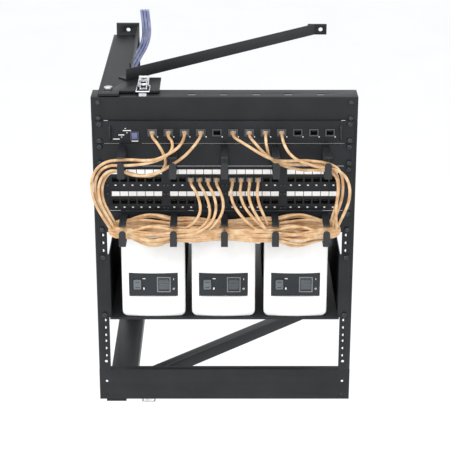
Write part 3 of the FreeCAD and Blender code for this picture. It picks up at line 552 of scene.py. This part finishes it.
def fold(apex, way, from_level, to_level, from_side):
    """A half circle, as six control points, that turns about an upright line and may tilt."""
    lean = RING_HALF_HEIGHT * FOLD_HALF_HEIGHT * (from_level - to_level) / 2
    lean = max(-MOST_LEAN, min(MOST_LEAN, lean))
    level = RING_HALF_HEIGHT * FOLD_HALF_HEIGHT * (from_level + to_level) / 2
    half_width = math.sqrt(FOLD_RADIUS ** 2 - lean ** 2)
    points = []
    for along, across in HALF_CIRCLE:
        x_mm = apex - way * FOLD_RADIUS + way * FOLD_RADIUS * along
        out = HANK_MIDDLE[0] + from_side * half_width * across
        points.append((x_mm, out, HANK_MIDDLE[1] + level + lean * across))
    return points


def eased_in(last_two, way):
    """Two points that bring a cord round, in three equal steps, to run level along the rings."""
    before, end = [Vector(p) for p in last_two]
    heading = (end - before).normalized()
    target = Vector((way, 0, 0))
    points = []
    for step in (1, 2):
        end = end + 14 * heading.slerp(target, step / 3)
        points.append(tuple(end))
    return points

# %% One cord's whole route
TURNS = 3
LEVEL_STEP = 0.3                  # between two strands, as a share of a ring's half height
INNER_FOLD_X = -8
OUTER_FOLD_X = 204


def route_of(number):
    """The whole cord: hub to rings, its loops of slack, and rings to patch panel."""
    side = -1 if number <= 4 else 1
    turn_order = (number - 1) % 4
    down = [(side * x, out, up) for x, out, up in HUB_ROUTES[number]]
    rise = [(side * x, out, up) for x, out, up in PANEL_ROUTES[number]]
    points = down + eased_in(down[-2:], -1)
    for turn in range(TURNS):
        order = 4 * turn + (turn_order * 3 + turn) % 4
        phase = 1.7 * order
        front_level = -1.0 + LEVEL_STEP * (order // 2)
        front_depth = (1.0, 0.45)[order % 2]
        back_order = (order * 5 + 3) % (4 * TURNS)
        back_level = -0.5 + LEVEL_STEP * (back_order // 2)
        back_depth = (-0.45, -1.0)[back_order % 2]
        inner = fold(3 * (order % 4) + INNER_FOLD_X, -1, front_level, back_level, 1)
        points += strand(points[-1], inner[0], front_level, front_depth, phase) + inner
        next_level = front_level + LEVEL_STEP
        outer = fold(OUTER_FOLD_X + 4 * ((order * 3) % 4), 1, back_level, next_level, -1)
        points += strand(points[-1], outer[0], back_level, back_depth, phase) + outer
    run_in = eased_in(rise[-2:], 1)[::-1]
    points += strand(points[-1], run_in[0], -0.1 - 0.28 * turn_order, 1.1, turn_order)
    points += run_in + rise[::-1]
    return [(side * x, out, up) for x, out, up in points]

# %% The eight patch cords
CORD_DIAMETER = 5.5 * MM


def spline_through(name, points_mm, diameter, material):
    """A NURBS curve with these control points, with a round bevel."""
    curve = bpy.data.curves.new(name, "CURVE")
    curve.dimensions = "3D"
    spline = curve.splines.new("NURBS")
    spline.points.add(len(points_mm) - 1)
    for point, (x, out, up) in zip(spline.points, points_mm):
        point.co = (x * MM, FRONT - out * MM, up * MM, 1.0)
    spline.order_u = 3
    spline.use_endpoint_u = True
    spline.resolution_u = 6
    curve.bevel_depth = diameter / 2
    curve.bevel_resolution = 3
    curve.use_fill_caps = True
    curve.materials.append(material)
    piece = bpy.data.objects.new(name, curve)
    bpy.context.scene.collection.objects.link(piece)
    return piece


for number, hub_route in HUB_ROUTES.items():
    side = -1 if number <= 4 else 1
    route = route_of(number)
    cord = spline_through(f"tan_patch_cord_{number}", route, CORD_DIAMETER, TAN_PVC)
    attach(cord, "gate")
    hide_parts(f"patch_cord_{number}", "left_hank" if side < 0 else "right_hank")
    x, out, up = hub_route[0]
    print(cord.name, len(route), "points")

# %% [markdown]
# ## House cables
#
# Six lavender cables come down from the building, cut level a little above the bracket, and run into the
# wall channel. They are stiffer than the patch cords, so each one keeps a gentle curve. One route is moved
# sideways and outwards for each cable, which lays them in two rows of three.

# %% House cables
CABLE_DIAMETER = 6 * MM
# Each point is across, out from the wall, and up, in millimetres.
CABLE_ROUTE = [(-174, 17, 374), (-171, 16, 346), (-170, 15, 320), (-177, 13, 295), (-191, 10, 272),
               (-203, 8, 248), (-209, 8, 220), (-211, 9, 190), (-210, 9, 160)]
WALL_FROM_FRONT_MM = -FRONT / MM
for row in range(2):
    for i in range(3):
        number = 3 * row + i + 1
        route = []
        for x, out, up in CABLE_ROUTE:
            route.append((x + 6.5 * i, out + 6.8 * row - WALL_FROM_FRONT_MM, up))
        cable = spline_through(f"house_cable_{number}", route, CABLE_DIAMETER, LAVENDER_PVC)
        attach(cable, "wall_bracket")
        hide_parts("building_cables")
        x, out, up = route[-1]
print("house cables:", number)

# %% [markdown]
# ## Folded steel with soft edges
#
# A sheared and folded steel sheet has no perfectly sharp edge: the press rounds it and the powder builds up
# on it, so each edge shows as a thin bright line. The frame's parts have sharp edges, and their shapes can't
# be changed, so a copy stands in for each one that shows. It is welded, its flat faces are merged, and a
# Bevel modifier rounds what is sharp. Selecting those edges by hand would give the same, edge by edge. The
# rails' outer front corner is a wider bend, so it is bevelled first, on its own.

# %% Eased copies of the frame's parts
BODY_OF = {node: body for body, nodes in frame["record"]["behaviour"]["bodies"].items() for node in nodes}


def eased(node, material, width_mm, segments=2, fold_mm=0):
    """Stands in for a node, with rounded edges. fold_mm is the bend of a rail's outer front corner."""
    piece = bpy.data.objects.new(node + "_eased", frame["nodes"][node].data.copy())
    bpy.context.scene.collection.objects.link(piece)
    piece.data.materials.clear()
    piece.data.materials.append(material)
    activate(piece)
    bpy.ops.object.mode_set(mode="EDIT")
    bpy.ops.mesh.select_all(action="SELECT")
    bpy.ops.mesh.remove_doubles(threshold=0.005 * MM)
    bpy.ops.mesh.dissolve_limited(angle_limit=math.radians(1.5))
    bpy.ops.object.mode_set(mode="OBJECT")
    if fold_mm:
        edge_x = max(abs(v.co.x) for v in piece.data.vertices) - 0.05 * MM
        at_corner = lambda p: abs(p.x) > edge_x and abs(p.y - FRONT) < 0.05 * MM
        pick(piece, "edges", lambda a, b: at_corner(a) and at_corner(b))
        bpy.ops.mesh.bevel(offset=fold_mm * MM, segments=6)
        bpy.ops.object.mode_set(mode="OBJECT")
    modify(piece, "BEVEL", width=width_mm * MM, segments=segments, limit_method="ANGLE",
           angle_limit=math.radians(40))
    smooth(piece, 38)
    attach(piece, BODY_OF[node])
    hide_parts(node)
    return piece


for node in ["left_rail", "right_rail"]:
    eased(node, BLACK_COAT, 0.7, fold_mm=3.5)
STEEL_PARTS = ["header_channel", "bottom_channel", "wall_channel", "top_arm", "bottom_arm", "top_brace",
               "bottom_brace", "equipment_shelf"]
for node in STEEL_PARTS:
    eased(node, BLACK_COAT, 0.7)
for node in ["upper_manager_panel", "lower_manager_panel", "patch_plate"]:
    eased(node, PANEL_COAT, 0.5)
for node in ["top_latch_lever", "bottom_latch_lever", "latch_bases", "hinge_pins"]:
    eased(node, ZINC, 0.35)
eased("latch_keepers", ZINC, 0.3)
eased("manager_rings", BLACK_ABS, 0.8, 3)
eased("rack_screws", BLACK_OXIDE, 0.2)
eased("bracket_bolts", BLACK_OXIDE, 0.5)
eased("ups_control_panels", CONTROL_ABS, 0.6, 3)
eased("hub_button", BLUE_ABS, 0.7, 3)
for number in (1, 2, 3):
    eased(f"ups_{number}_rocker", ROCKER_ABS, 0.8, 3)
    eased(f"ups_{number}_test_button", BUTTON_ABS, 0.8, 3)

# %% Finishes of the parts that stay as they are
KEPT = {
    "top_latch_bail": ZINC, "bottom_latch_bail": ZINC, "hub_chassis": BLACK_COAT, "hub_jacks": SOCKET_ABS,
    "hub_board": BOARD, "patch_jacks": SOCKET_ABS, "patch_blocks": BLACK_ABS, "ups_batteries": BATTERY_ABS,
    "ups_transformers": CORE, "ups_boards": BOARD, "ups_rear_panels": BLACK_ABS, "ups_1_case": DARK_CASE,
    "ups_2_case": DARK_CASE, "ups_3_case": DARK_CASE,
}
for node, material in KEPT.items():
    mesh = frame["nodes"][node].data
    mesh.materials.clear()
    mesh.materials.append(material)
print("finished", len(KEPT), "parts in place")

# %% [markdown]
# ## UPS fronts
#
# The front of each unit is one white moulding. It bows outwards from side to side, so its bottom edge reads
# as a shallow curve, its corners are round, and the dark control panel sits at the bottom of a pocket. It
# could be drawn as a curved sheet and thickened. A block is simpler to control: its corners are bevelled,
# it is cut into columns, each column is moved forward by the height of the bow, and the pocket is pushed in.

# %% One UPS front
UPS_X = [sum(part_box(f"ups_{n}_front")[i][0] for i in (0, 1)) / 2 for n in (1, 2, 3)]
PANEL_LOW, PANEL_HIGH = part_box("ups_control_panels")
PANEL_MIDDLE_Z = (PANEL_LOW[2] + PANEL_HIGH[2]) / 2
POCKET_HALF_W = 47.2 * MM
POCKET_HALF_H = 24.7 * MM
POCKET_DEPTH = 20 * MM
UPS_CORNER = 10 * MM
UPS_RIM = 3.5 * MM
BOW = 5.5 * MM
COLUMNS = 14


def ups_front(number):
    low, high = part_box(f"ups_{number}_front")
    centre = (low[0] + high[0]) / 2
    half = (high[0] - low[0]) / 2
    piece = block("ups_front_blank", low, high)
    pick(piece, "edges", lambda a, b: abs(a.y - b.y) > 10 * MM)
    bpy.ops.mesh.bevel(offset=UPS_CORNER, segments=7)
    cuts = [centre + half * (2 * i / COLUMNS - 1) for i in range(1, COLUMNS)]
    cuts += [centre - POCKET_HALF_W, centre + POCKET_HALF_W]
    for x in cuts:
        bpy.ops.mesh.select_all(action="SELECT")
        bpy.ops.mesh.bisect(plane_co=(x, 0, 0), plane_no=(1, 0, 0))
    for z in (PANEL_MIDDLE_Z - POCKET_HALF_H, PANEL_MIDDLE_Z + POCKET_HALF_H):
        bpy.ops.mesh.select_all(action="SELECT")
        bpy.ops.mesh.bisect(plane_co=(0, 0, z), plane_no=(0, 0, 1))
    bpy.ops.object.mode_set(mode="OBJECT")
    across = sorted({round(v.co.x, 5) for v in piece.data.vertices})
    for x in across:
        pick(piece, "vertices", lambda v: abs(v.co.x - x) < 0.02 * MM and abs(v.co.y - low[1]) < 0.1 * MM)
        rise = BOW * (1 - ((x - centre) / half) ** 2)
        bpy.ops.transform.translate(value=(0, -rise, 0))
    pick(piece, "faces", lambda f: f.normal.y < -0.5)
    bpy.ops.mesh.region_to_loop()
    bpy.ops.mesh.bevel(offset=UPS_RIM, segments=4)
    bpy.ops.object.mode_set(mode="OBJECT")
    in_pocket = lambda f: (f.normal.y < -0.9 and abs(f.center.x - centre) < POCKET_HALF_W
                           and abs(f.center.z - PANEL_MIDDLE_Z) < POCKET_HALF_H)
    pick(piece, "faces", in_pocket)
    bpy.ops.mesh.extrude_region_move(TRANSFORM_OT_translate={"value": (0, 0, 0)})
    pocket_floor = (centre, low[1] + POCKET_DEPTH, PANEL_MIDDLE_Z)
    bpy.ops.transform.resize(value=(1, 0, 1), center_override=pocket_floor)
    bpy.ops.object.mode_set(mode="OBJECT")
    modify(piece, "BEVEL", width=0.8 * MM, segments=2, limit_method="ANGLE", angle_limit=math.radians(50))
    smooth(piece, 40)
    piece.data.materials.append(WHITE_ABS)
    return piece


first_front = ups_front(1)
for number, x in enumerate(UPS_X, 1):
    front = copy_of(first_front, f"ups_{number}_white_front", (x - UPS_X[0], 0, 0))
    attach(front, "gate")
    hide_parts(f"ups_{number}_front")
bpy.data.objects.remove(first_front)
print("UPS front:", len(front.data.polygons), "faces, bowed", round(BOW / MM, 1), "mm")

# %% [markdown]
# ## The control panels' small parts
#
# Each dark panel carries a switch in a light grey frame, a test button, an indicator lamp and printed marks.
# The frame is a block whose front and back are inset and then bridged, which leaves a clean opening for the
# rocker. The marks are thin raised ink, and only generic ones are used: a bar, a ring and a short line.

# %% Helpers for small parts
def open_frame(name, low, high, border):
    """A rectangular frame: a block whose front and back faces are inset and bridged."""
    piece = block(name, low, high)
    pick(piece, "faces", lambda f: abs(f.normal.y) > 0.9)
    bpy.ops.mesh.inset(thickness=border)
    bpy.ops.mesh.bridge_edge_loops()
    bpy.ops.object.mode_set(mode="OBJECT")
    return piece


def softened(piece, width_mm, segments=2):
    modify(piece, "BEVEL", width=width_mm * MM, segments=segments, limit_method="ANGLE",
           angle_limit=math.radians(40))
    smooth(piece, 40)
    return piece


def give(piece, material, body, slot, *nodes):
    """Finish and body of a new piece, and the nodes that it stands for. The slot is not used."""
    piece.data.materials.clear()
    piece.data.materials.append(material)
    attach(piece, body)
    if nodes:
        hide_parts(*nodes)


def chip(name, x, z, wide, tall, face, thick, round_mm):
    """A thin raised patch on a front face, centred at x and z. Its sizes are in millimetres."""
    half_w, half_h = wide / 2 * MM, tall / 2 * MM
    piece = block(name, (x - half_w, face - thick * MM, z - half_h), (x + half_w, face, z + half_h))
    return softened(piece, round_mm, 1)

# %% Frames and marks
PANEL_FACE = PANEL_LOW[1]
ROCKER_LOW, ROCKER_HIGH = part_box("ups_1_rocker")
ROCKER_OFFSET = (ROCKER_LOW[0] + ROCKER_HIGH[0]) / 2 - UPS_X[0]
FRAME_HALF_W = 13.4 * MM
FRAME_HALF_H = 16 * MM
MARKS_OFFSET = 39 * MM
INK = (0.15, 0.05)                # how thick the raised ink is, and how round its edge
frames = []
marks = []
for number, x in enumerate(UPS_X, 1):
    middle = x + ROCKER_OFFSET
    low = (middle - FRAME_HALF_W, PANEL_FACE - 1.5 * MM, PANEL_MIDDLE_Z - FRAME_HALF_H)
    high = (middle + FRAME_HALF_W, PANEL_FACE + 0.5 * MM, PANEL_MIDDLE_Z + FRAME_HALF_H)
    frames.append(softened(open_frame("rocker_frame", low, high, 2.7 * MM), 0.5))
    mark_x = x + MARKS_OFFSET
    marks.append(chip("on_mark", mark_x, PANEL_MIDDLE_Z + 11 * MM, 0.9, 3.6, PANEL_FACE, *INK))
    clear_selection()
    bpy.ops.mesh.primitive_torus_add(major_radius=1.5 * MM, minor_radius=0.42 * MM, major_segments=20,
                                     minor_segments=6, rotation=(math.radians(90), 0, 0),
                                     location=(mark_x, PANEL_FACE, PANEL_MIDDLE_Z - 9 * MM))
    marks.append(settle(bpy.context.object, "off_mark"))
    marks.append(chip("test_caption", x - 18 * MM, PANEL_MIDDLE_Z + 12 * MM, 5.5, 1.5, PANEL_FACE, *INK))
    lamp_x = x - 18.5 * MM
    marks.append(chip("indicator_lamp", lamp_x, PANEL_MIDDLE_Z - 8.5 * MM, 2.8, 4.4, PANEL_FACE, 1.0, 0.9))
give(join(frames, "ups_rocker_frames"), FRAME_ABS, "gate", "grey_abs")
give(join(marks, "ups_panel_marks"), WHITE_PRINT, "gate", "white_label")
print("control panels:", len(frames), "frames and", len(marks), "marks")

# %% [markdown]
# ## Switches that read as switches
#
# A rocker has a raised bar across its middle, and the test button has two grip lines. They could be cut into
# the frame's own parts, but small bars laid on them are simpler. They ride on the moving bodies, so they
# travel with them.

# %% Rocker bars and button lines
for number, x in enumerate(UPS_X, 1):
    low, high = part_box(f"ups_{number}_rocker")
    middle = ((low[0] + high[0]) / 2, (low[2] + high[2]) / 2)
    bar = chip("rocker_bar", middle[0], middle[1] + 1.5 * MM, 12, 1.3, low[1] + 0.5 * MM, 0.6, 0.25)
    bar.name = f"ups_{number}_rocker_bar"
    give(bar, BUTTON_ABS, f"ups_{number}_rocker", "grey_abs")
    low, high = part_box(f"ups_{number}_test_button")
    middle = ((low[0] + high[0]) / 2, (low[2] + high[2]) / 2)
    lines = [chip("line", middle[0], middle[1] + up * MM, 8, 1.1, low[1], 0.5, 0.2) for up in (5.5, -5.5)]
    give(join(lines, f"ups_{number}_button_lines"), CONTROL_ABS, f"ups_{number}_test_button", "grey_abs")
print("rockers with a bar:", number)

# %% [markdown]
# ## Hub face
#
# The hub's front is a 3 mm plate with twelve port openings in a row and one for its button. It is modelled
# as a slab that is cut into a grid by bisecting planes along every opening's sides; then the two faces of
# each opening, front and back, are picked and bridged, which cuts it through. A boolean would do it too, but
# leaves long thin faces that bevel badly.

# %% Hub face with its openings
HUB_LOW, HUB_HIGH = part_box("hub_face")
JACK_LOW, JACK_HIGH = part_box("hub_jacks")
PORT_PITCH = 30 * MM
JACK_HALF_W = 7.6 * MM
PORT_X0 = JACK_LOW[0] + JACK_HALF_W
PORT_Z = (JACK_LOW[2] + JACK_HIGH[2]) / 2
PORTS_X = [PORT_X0 + PORT_PITCH * i for i in range(12)]
PORT_HALF_W = 6.5 * MM
PORT_HALF_H = 4.8 * MM
BUTTON_HALF = 6 * MM
HUB_FRONT = FRONT - 3 * MM
BUTTON_LOW, BUTTON_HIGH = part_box("hub_button")
BUTTON_X = (BUTTON_LOW[0] + BUTTON_HIGH[0]) / 2
BUTTON_Z = (BUTTON_LOW[2] + BUTTON_HIGH[2]) / 2


def cut_openings(piece, openings):
    """Cuts rectangular openings, given as x0, x1, z0, z1, through a slab."""
    sides = {0: {v for o in openings for v in o[:2]}, 2: {v for o in openings for v in o[2:]}}
    for axis, values in sides.items():
        normal = [0, 0, 0]
        normal[axis] = 1
        for value in sorted(values):
            point = [0, 0, 0]
            point[axis] = value
            activate(piece)
            bpy.ops.object.mode_set(mode="EDIT")
            bpy.ops.mesh.select_all(action="SELECT")
            bpy.ops.mesh.bisect(plane_co=point, plane_no=normal)
    for x0, x1, z0, z1 in openings:
        inside = lambda f: abs(f.normal.y) > 0.9 and x0 < f.center.x < x1 and z0 < f.center.z < z1
        pick(piece, "faces", inside)
        bpy.ops.mesh.dissolve_faces()
        bpy.ops.mesh.bridge_edge_loops()
    bpy.ops.object.mode_set(mode="OBJECT")


hub_plate = block("hub_face_plate", (HUB_LOW[0], HUB_FRONT, HUB_LOW[2]), (HUB_HIGH[0], FRONT, HUB_HIGH[2]))
openings = []
for x in PORTS_X:
    openings.append((x - PORT_HALF_W, x + PORT_HALF_W, PORT_Z - PORT_HALF_H, PORT_Z + PORT_HALF_H))
openings.append((BUTTON_X - BUTTON_HALF, BUTTON_X + BUTTON_HALF,
                 BUTTON_Z - BUTTON_HALF, BUTTON_Z + BUTTON_HALF))
cut_openings(hub_plate, openings)
softened(hub_plate, 0.5)
give(hub_plate, PANEL_COAT, "gate", "black_powder_coat", "hub_face")

# %% End ribs, port bezels, button frame, lamps and captions
RIBS_X = (-213 * MM, 216 * MM)
ribs = []
for x in RIBS_X:
    low_z, high_z = HUB_LOW[2] + 5 * MM, HUB_HIGH[2] - 7 * MM
    rib = block("hub_rib", (x - 2.4 * MM, HUB_FRONT - 6 * MM, low_z), (x + 2.4 * MM, HUB_FRONT, high_z))
    pick(rib, "faces", lambda f: f.normal.y < -0.9)
    bpy.ops.transform.resize(value=(0.7, 1, 0.72))
    ribs.append(softened(rib, 1.6, 4))
give(join(ribs, "hub_end_ribs"), BLACK_ABS, "gate", "black_abs")

bezels = []
for x in PORTS_X:
    low = (x - 8.6 * MM, HUB_FRONT - 1.3 * MM, PORT_Z - 7.2 * MM)
    high = (x + 8.6 * MM, HUB_FRONT, PORT_Z + 6.6 * MM)
    bezels.append(softened(open_frame("port_bezel", low, high, 1.9 * MM), 0.5))
low = (BUTTON_X - 8 * MM, HUB_FRONT - 1.6 * MM, BUTTON_Z - 8 * MM)
high = (BUTTON_X + 8 * MM, HUB_FRONT, BUTTON_Z + 8 * MM)
bezels.append(softened(open_frame("button_bezel", low, high, 1.6 * MM), 0.4))
give(join(bezels, "hub_port_bezels"), BEZEL_ABS, "gate", "black_abs")

prints = []
for x, z, wide in ((-181, 247.8, 15), (-191.5, 239.4, 11), (-201, 231.3, 12.5), (-166.5, 227.4, 12.5)):
    prints.append(chip("caption", x * MM, z * MM, wide, 1.7, HUB_FRONT, 0.12, 0.05))
for x in PORTS_X:
    prints.append(chip("port_lamp", x + 9.8 * MM, PORT_Z - 8.4 * MM, 2.0, 2.0, HUB_FRONT, 0.5, 0.15))
for x, z in ((-184, 252), (-181, 243.5), (-191, 235.3)):
    prints.append(chip("state_lamp", x * MM, z * MM, 2.2, 1.6, HUB_FRONT, 0.6, 0.3))
give(join(prints, "hub_captions_and_lamps"), WHITE_PRINT, "gate", "white_label")
print("hub:", len(openings), "openings,", len(bezels), "bezels")

# %% [markdown]
# ## Patch panel labels and sockets
#
# Over each group of six sockets a strip of white cards lies in a black holder, one card to a socket, with a
# thin gap between. Under every socket is a printed dot, and pairs of small screws hold the socket modules.
# Each socket has eight gold spring contacts: one wire is modelled, an Array modifier makes the row, and the
# row is copied to every socket.

# %% Label strips
LABEL_LOW, LABEL_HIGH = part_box("patch_labels")
PANEL_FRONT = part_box("patch_plate")[0][1]
PATCH_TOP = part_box("patch_plate")[1][2] + 0.5 * MM
GROUP_PITCH = 110 * MM
JACK_PITCH = 16 * MM
GROUPS_X = [(g - 1.5) * GROUP_PITCH for g in range(4)]
HOLDER_HALF_W = 49.6 * MM
LABEL_ROWS = (LABEL_HIGH[2] - 4.7 * MM, LABEL_LOW[2] + 4.7 * MM)
SOCKET_ROWS = (PATCH_TOP - 26.8 * MM, PATCH_TOP - 70.8 * MM)


def socket_places():
    return [(x + (i - 2.5) * JACK_PITCH, z) for z in SOCKET_ROWS for x in GROUPS_X for i in range(6)]


holders = []
cards = []
for z in LABEL_ROWS:
    for x in GROUPS_X:
        low = (x - HOLDER_HALF_W, PANEL_FRONT - 1.6 * MM, z - 6.6 * MM)
        high = (x + HOLDER_HALF_W, PANEL_FRONT, z + 6.2 * MM)
        holder = open_frame("label_holder", low, high, 1.5 * MM)
        holders.append(softened(holder, 0.4))
        for i in range(6):
            card_x = x + (i - 2.5) * JACK_PITCH
            cards.append(chip("label_card", card_x, z, 14.8, 9.4, PANEL_FRONT, 0.9, 0.15))
give(join(holders, "patch_label_holders"), BLACK_ABS, "gate", "black_abs")
give(join(cards, "patch_label_cards"), LABEL_CARD, "gate", "white_label", "patch_labels")

# %% Printed dots and module screws
dots = []
for x, z in socket_places():
    dots.append(chip("socket_dot", x, z - 11 * MM, 3.4, 2.4, PANEL_FRONT, 0.12, 0.05))
give(join(dots, "patch_socket_dots"), WHITE_PRINT, "gate", "white_label")


def module_screw(x, z):
    clear_selection()
    bpy.ops.mesh.primitive_cylinder_add(vertices=20, radius=2.1 * MM, depth=1.4 * MM,
                                        rotation=(math.radians(90), 0, 0),
                                        location=(x, PANEL_FRONT - 0.7 * MM, z))
    piece = settle(bpy.context.object, "module_screw")
    pick(piece, "faces", lambda f: f.normal.y < -0.9)
    bpy.ops.mesh.inset(thickness=1.0 * MM)
    bpy.ops.transform.translate(value=(0, 0.8 * MM, 0))
    bpy.ops.object.mode_set(mode="OBJECT")
    return softened(piece, 0.3)


screws = []
for z in (SOCKET_ROWS[0] - 11 * MM, LABEL_ROWS[1], SOCKET_ROWS[1] - 11 * MM):
    for x in (-GROUP_PITCH, 0, GROUP_PITCH):
        for offset in (-3.6, 3.6):
            screws.append(module_screw(x + offset * MM, z))
    for x in (-220 * MM, 220 * MM):
        screws.append(module_screw(x, z))
give(join(screws, "patch_module_screws"), BLACK_OXIDE, "gate", "black_oxide")
print("patch panel:", len(cards), "cards,", len(dots), "dots,", len(screws), "screws")

# %% Socket contacts
CONTACT_PITCH = 1.02 * MM


def contact_row():
    """Eight sprung wires that slope down into a socket, centred on the origin."""
    wire = block("contacts", (-3.8 * MM, 1.5 * MM, 1.4 * MM), (-3.4 * MM, 10.5 * MM, 1.9 * MM))
    pick(wire, "vertices", lambda v: v.co.y > 5 * MM)
    bpy.ops.transform.translate(value=(0, 0, 2.0 * MM))
    bpy.ops.object.mode_set(mode="OBJECT")
    modify(wire, "ARRAY", count=8, use_relative_offset=False, use_constant_offset=True,
           constant_offset_displace=(CONTACT_PITCH, 0, 0))
    # The contacts' gold is darkened as painted shade of the socket.
    wire.data.materials.append(SHADED_GOLD)
    return wire


row = contact_row()
places = socket_places() + [(x, PORT_Z) for x in PORTS_X]
contacts = [copy_of(row, "contacts", (x, FRONT, z)) for x, z in places]
bpy.data.objects.remove(row)
give(join(contacts, "socket_contacts"), SHADED_GOLD, "gate", "zinc_plate")
print("contacts:", len(contacts) * 8)

# %% [markdown]
# ## Plugs
#
# A modular plug is clear polycarbonate with a tan boot that stiffens the cord where it leaves. The boot has
# three soft ribs. A disc is extruded a little and scaled, again and again, which gives the ribs their round
# steps; turning a drawn outline round the cord with Spin would do it too.

# %% Plug bodies and boots
CLEAR = clear_plastic()
BOOT_RADIUS = 3.8
# Each step is how far the boot is extruded and its radius there, in millimetres.
BOOT_STEPS = ((1.8, 3.8), (0.3, 3.3), (1.2, 3.3), (0.3, 3.6), (1.3, 3.5), (0.3, 3.1), (1.2, 3.1), (0.3, 3.4),
              (1.3, 3.3), (0.3, 3.0), (2.7, 2.95))


def boot():
    """A ribbed boot along -Y from the origin."""
    clear_selection()
    bpy.ops.mesh.primitive_circle_add(vertices=20, radius=BOOT_RADIUS * MM, fill_type="NGON",
                                      rotation=(math.radians(90), 0, 0))
    piece = settle(bpy.context.object, "boot")
    bpy.ops.object.mode_set(mode="EDIT")
    bpy.ops.mesh.select_all(action="SELECT")
    radius, along = BOOT_RADIUS, 0
    for step, new_radius in BOOT_STEPS:
        bpy.ops.mesh.extrude_region_move(TRANSFORM_OT_translate={"value": (0, -step * MM, 0)})
        along += step
        factor = new_radius / radius
        bpy.ops.transform.resize(value=(factor, 1, factor), center_override=(0, -along * MM, 0))
        radius = new_radius
    bpy.ops.mesh.select_all(action="SELECT")
    bpy.ops.mesh.normals_make_consistent(inside=False)
    bpy.ops.object.mode_set(mode="OBJECT")
    smooth(piece, 50)
    return piece


def plug_body():
    """The clear body and its latch, with the boot's end at the origin."""
    body = block("plug_body", (-5.8 * MM, 0, -4 * MM), (5.8 * MM, 13.5 * MM, 4 * MM))
    latch = block("plug_latch", (-1.8 * MM, 1 * MM, -5.4 * MM), (1.8 * MM, 11 * MM, -4.5 * MM))
    return softened(join([body, latch], "plug_body"), 0.4)


boot_piece, body_piece = boot(), plug_body()
ends = [route[0] for route in HUB_ROUTES.values()] + [route[0] for route in PANEL_ROUTES.values()]
boots, bodies = [], []
for x, out, up in ends:
    shift = (x * MM, FRONT - 5 * MM, up * MM)
    boots.append(copy_of(boot_piece, "boot", shift))
    bodies.append(copy_of(body_piece, "plug", shift))
bpy.data.objects.remove(boot_piece)
bpy.data.objects.remove(body_piece)
give(join(boots, "patch_plug_boots"), BOOT_PVC, "gate", "tan_pvc", "patch_cord_plugs")
give(join(bodies, "patch_plug_bodies"), CLEAR, "gate", "tan_pvc", "patch_cord_plugs")
print("plugs:", len(ends))

# %% [markdown]
# ## The back of the UPS units
#
# Each rear panel has six outlets, which are moulded faces with two blade slots and an earth hole, and a
# mains inlet, which is an open shell round three pins. The slots are cut as the hub's openings are, in one
# outlet that is then copied.

# %% Outlets
REAR_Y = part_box("ups_rear_panels")[1][1]
UPS_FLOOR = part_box("ups_1_front")[0][2]
LOWEST_OUTLET = 62 * MM
OUTLET_PITCH = 36 * MM
OUTLET_FROM_MIDDLE = 26 * MM
INLET_HEIGHT = 26 * MM


def outlet():
    """One outlet face, seen from behind, centred on the origin, with its slots pushed in."""
    piece = block("outlet", (-12 * MM, -2 * MM, -11 * MM), (12 * MM, 0.4 * MM, 11 * MM))
    pick(piece, "edges", lambda a, b: abs(a.y - b.y) > MM)
    bpy.ops.mesh.bevel(offset=4 * MM, segments=4)
    bpy.ops.object.mode_set(mode="OBJECT")
    cuts = [(-4.3 * MM, -2.5 * MM, -1 * MM, 6 * MM), (2.5 * MM, 4.3 * MM, 0, 6 * MM),
            (-2 * MM, 2 * MM, -7.5 * MM, -4 * MM)]
    cut_openings(piece, cuts)
    return piece


outlet_piece = outlet()
outlets = []
for x in UPS_X:
    for level in range(3):
        for side in (-1, 1):
            place = (x + side * OUTLET_FROM_MIDDLE, REAR_Y - 1.0 * MM,
                     UPS_FLOOR + LOWEST_OUTLET + level * OUTLET_PITCH)
            outlets.append(copy_of(outlet_piece, "outlet", place))
bpy.data.objects.remove(outlet_piece)
give(softened(join(outlets, "ups_outlets"), 0.4), BUTTON_ABS, "gate", "grey_abs")
print("outlets:", len(outlets))

# %% Mains inlets
inlets = []
for x in UPS_X:
    z = UPS_FLOOR + INLET_HEIGHT
    shell = open_frame("inlet", (x - 13.6 * MM, REAR_Y - 6 * MM, z - 9.6 * MM),
                       (x + 13.6 * MM, REAR_Y + 0.8 * MM, z + 9.6 * MM), 2 * MM)
    inlets.append(softened(shell, 0.5))
    inlets.append(block("inlet_back", (x - 12 * MM, REAR_Y - 6.5 * MM, z - 8 * MM),
                        (x + 12 * MM, REAR_Y - 5.6 * MM, z + 8 * MM)))
    for across, up in ((-7, -2), (7, -2), (0, 3)):
        pin_x, pin_z = x + across * MM, z + up * MM
        inlets.append(softened(block("inlet_pin", (pin_x - 1 * MM, REAR_Y - 5.7 * MM, pin_z - 2 * MM),
                                     (pin_x + 1 * MM, REAR_Y - 1 * MM, pin_z + 2 * MM)), 0.3))
give(join(inlets, "ups_inlets"), SOCKET_ABS, "gate", "black_abs")
print("inlets:", len(UPS_X))

# %% [markdown]
# ## Header screws
#
# The gate's header is held to the rails by two pan-head screws at each end: a cylinder, its rim rounded by
# a bevel and its recess pushed in.

# %% Header screws
def pan_head(x, z, face):
    clear_selection()
    bpy.ops.mesh.primitive_cylinder_add(vertices=28, radius=4.2 * MM, depth=2.6 * MM,
                                        rotation=(math.radians(90), 0, 0), location=(x, face - 1.3 * MM, z))
    piece = settle(bpy.context.object, "pan_head")
    pick(piece, "faces", lambda f: f.normal.y < -0.9)
    bpy.ops.mesh.inset(thickness=2.4 * MM)
    bpy.ops.transform.translate(value=(0, 1.3 * MM, 0))
    bpy.ops.object.mode_set(mode="OBJECT")
    return softened(piece, 0.8, 3)


HEADER_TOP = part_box("header_channel")[1][2]
heads = [pan_head(side * 234 * MM, HEADER_TOP - down * MM, FRONT) for side in (-1, 1) for down in (9.5, 40)]
give(join(heads, "header_screws"), BLACK_OXIDE, "gate", "black_oxide")
print("header screws:", len(heads))
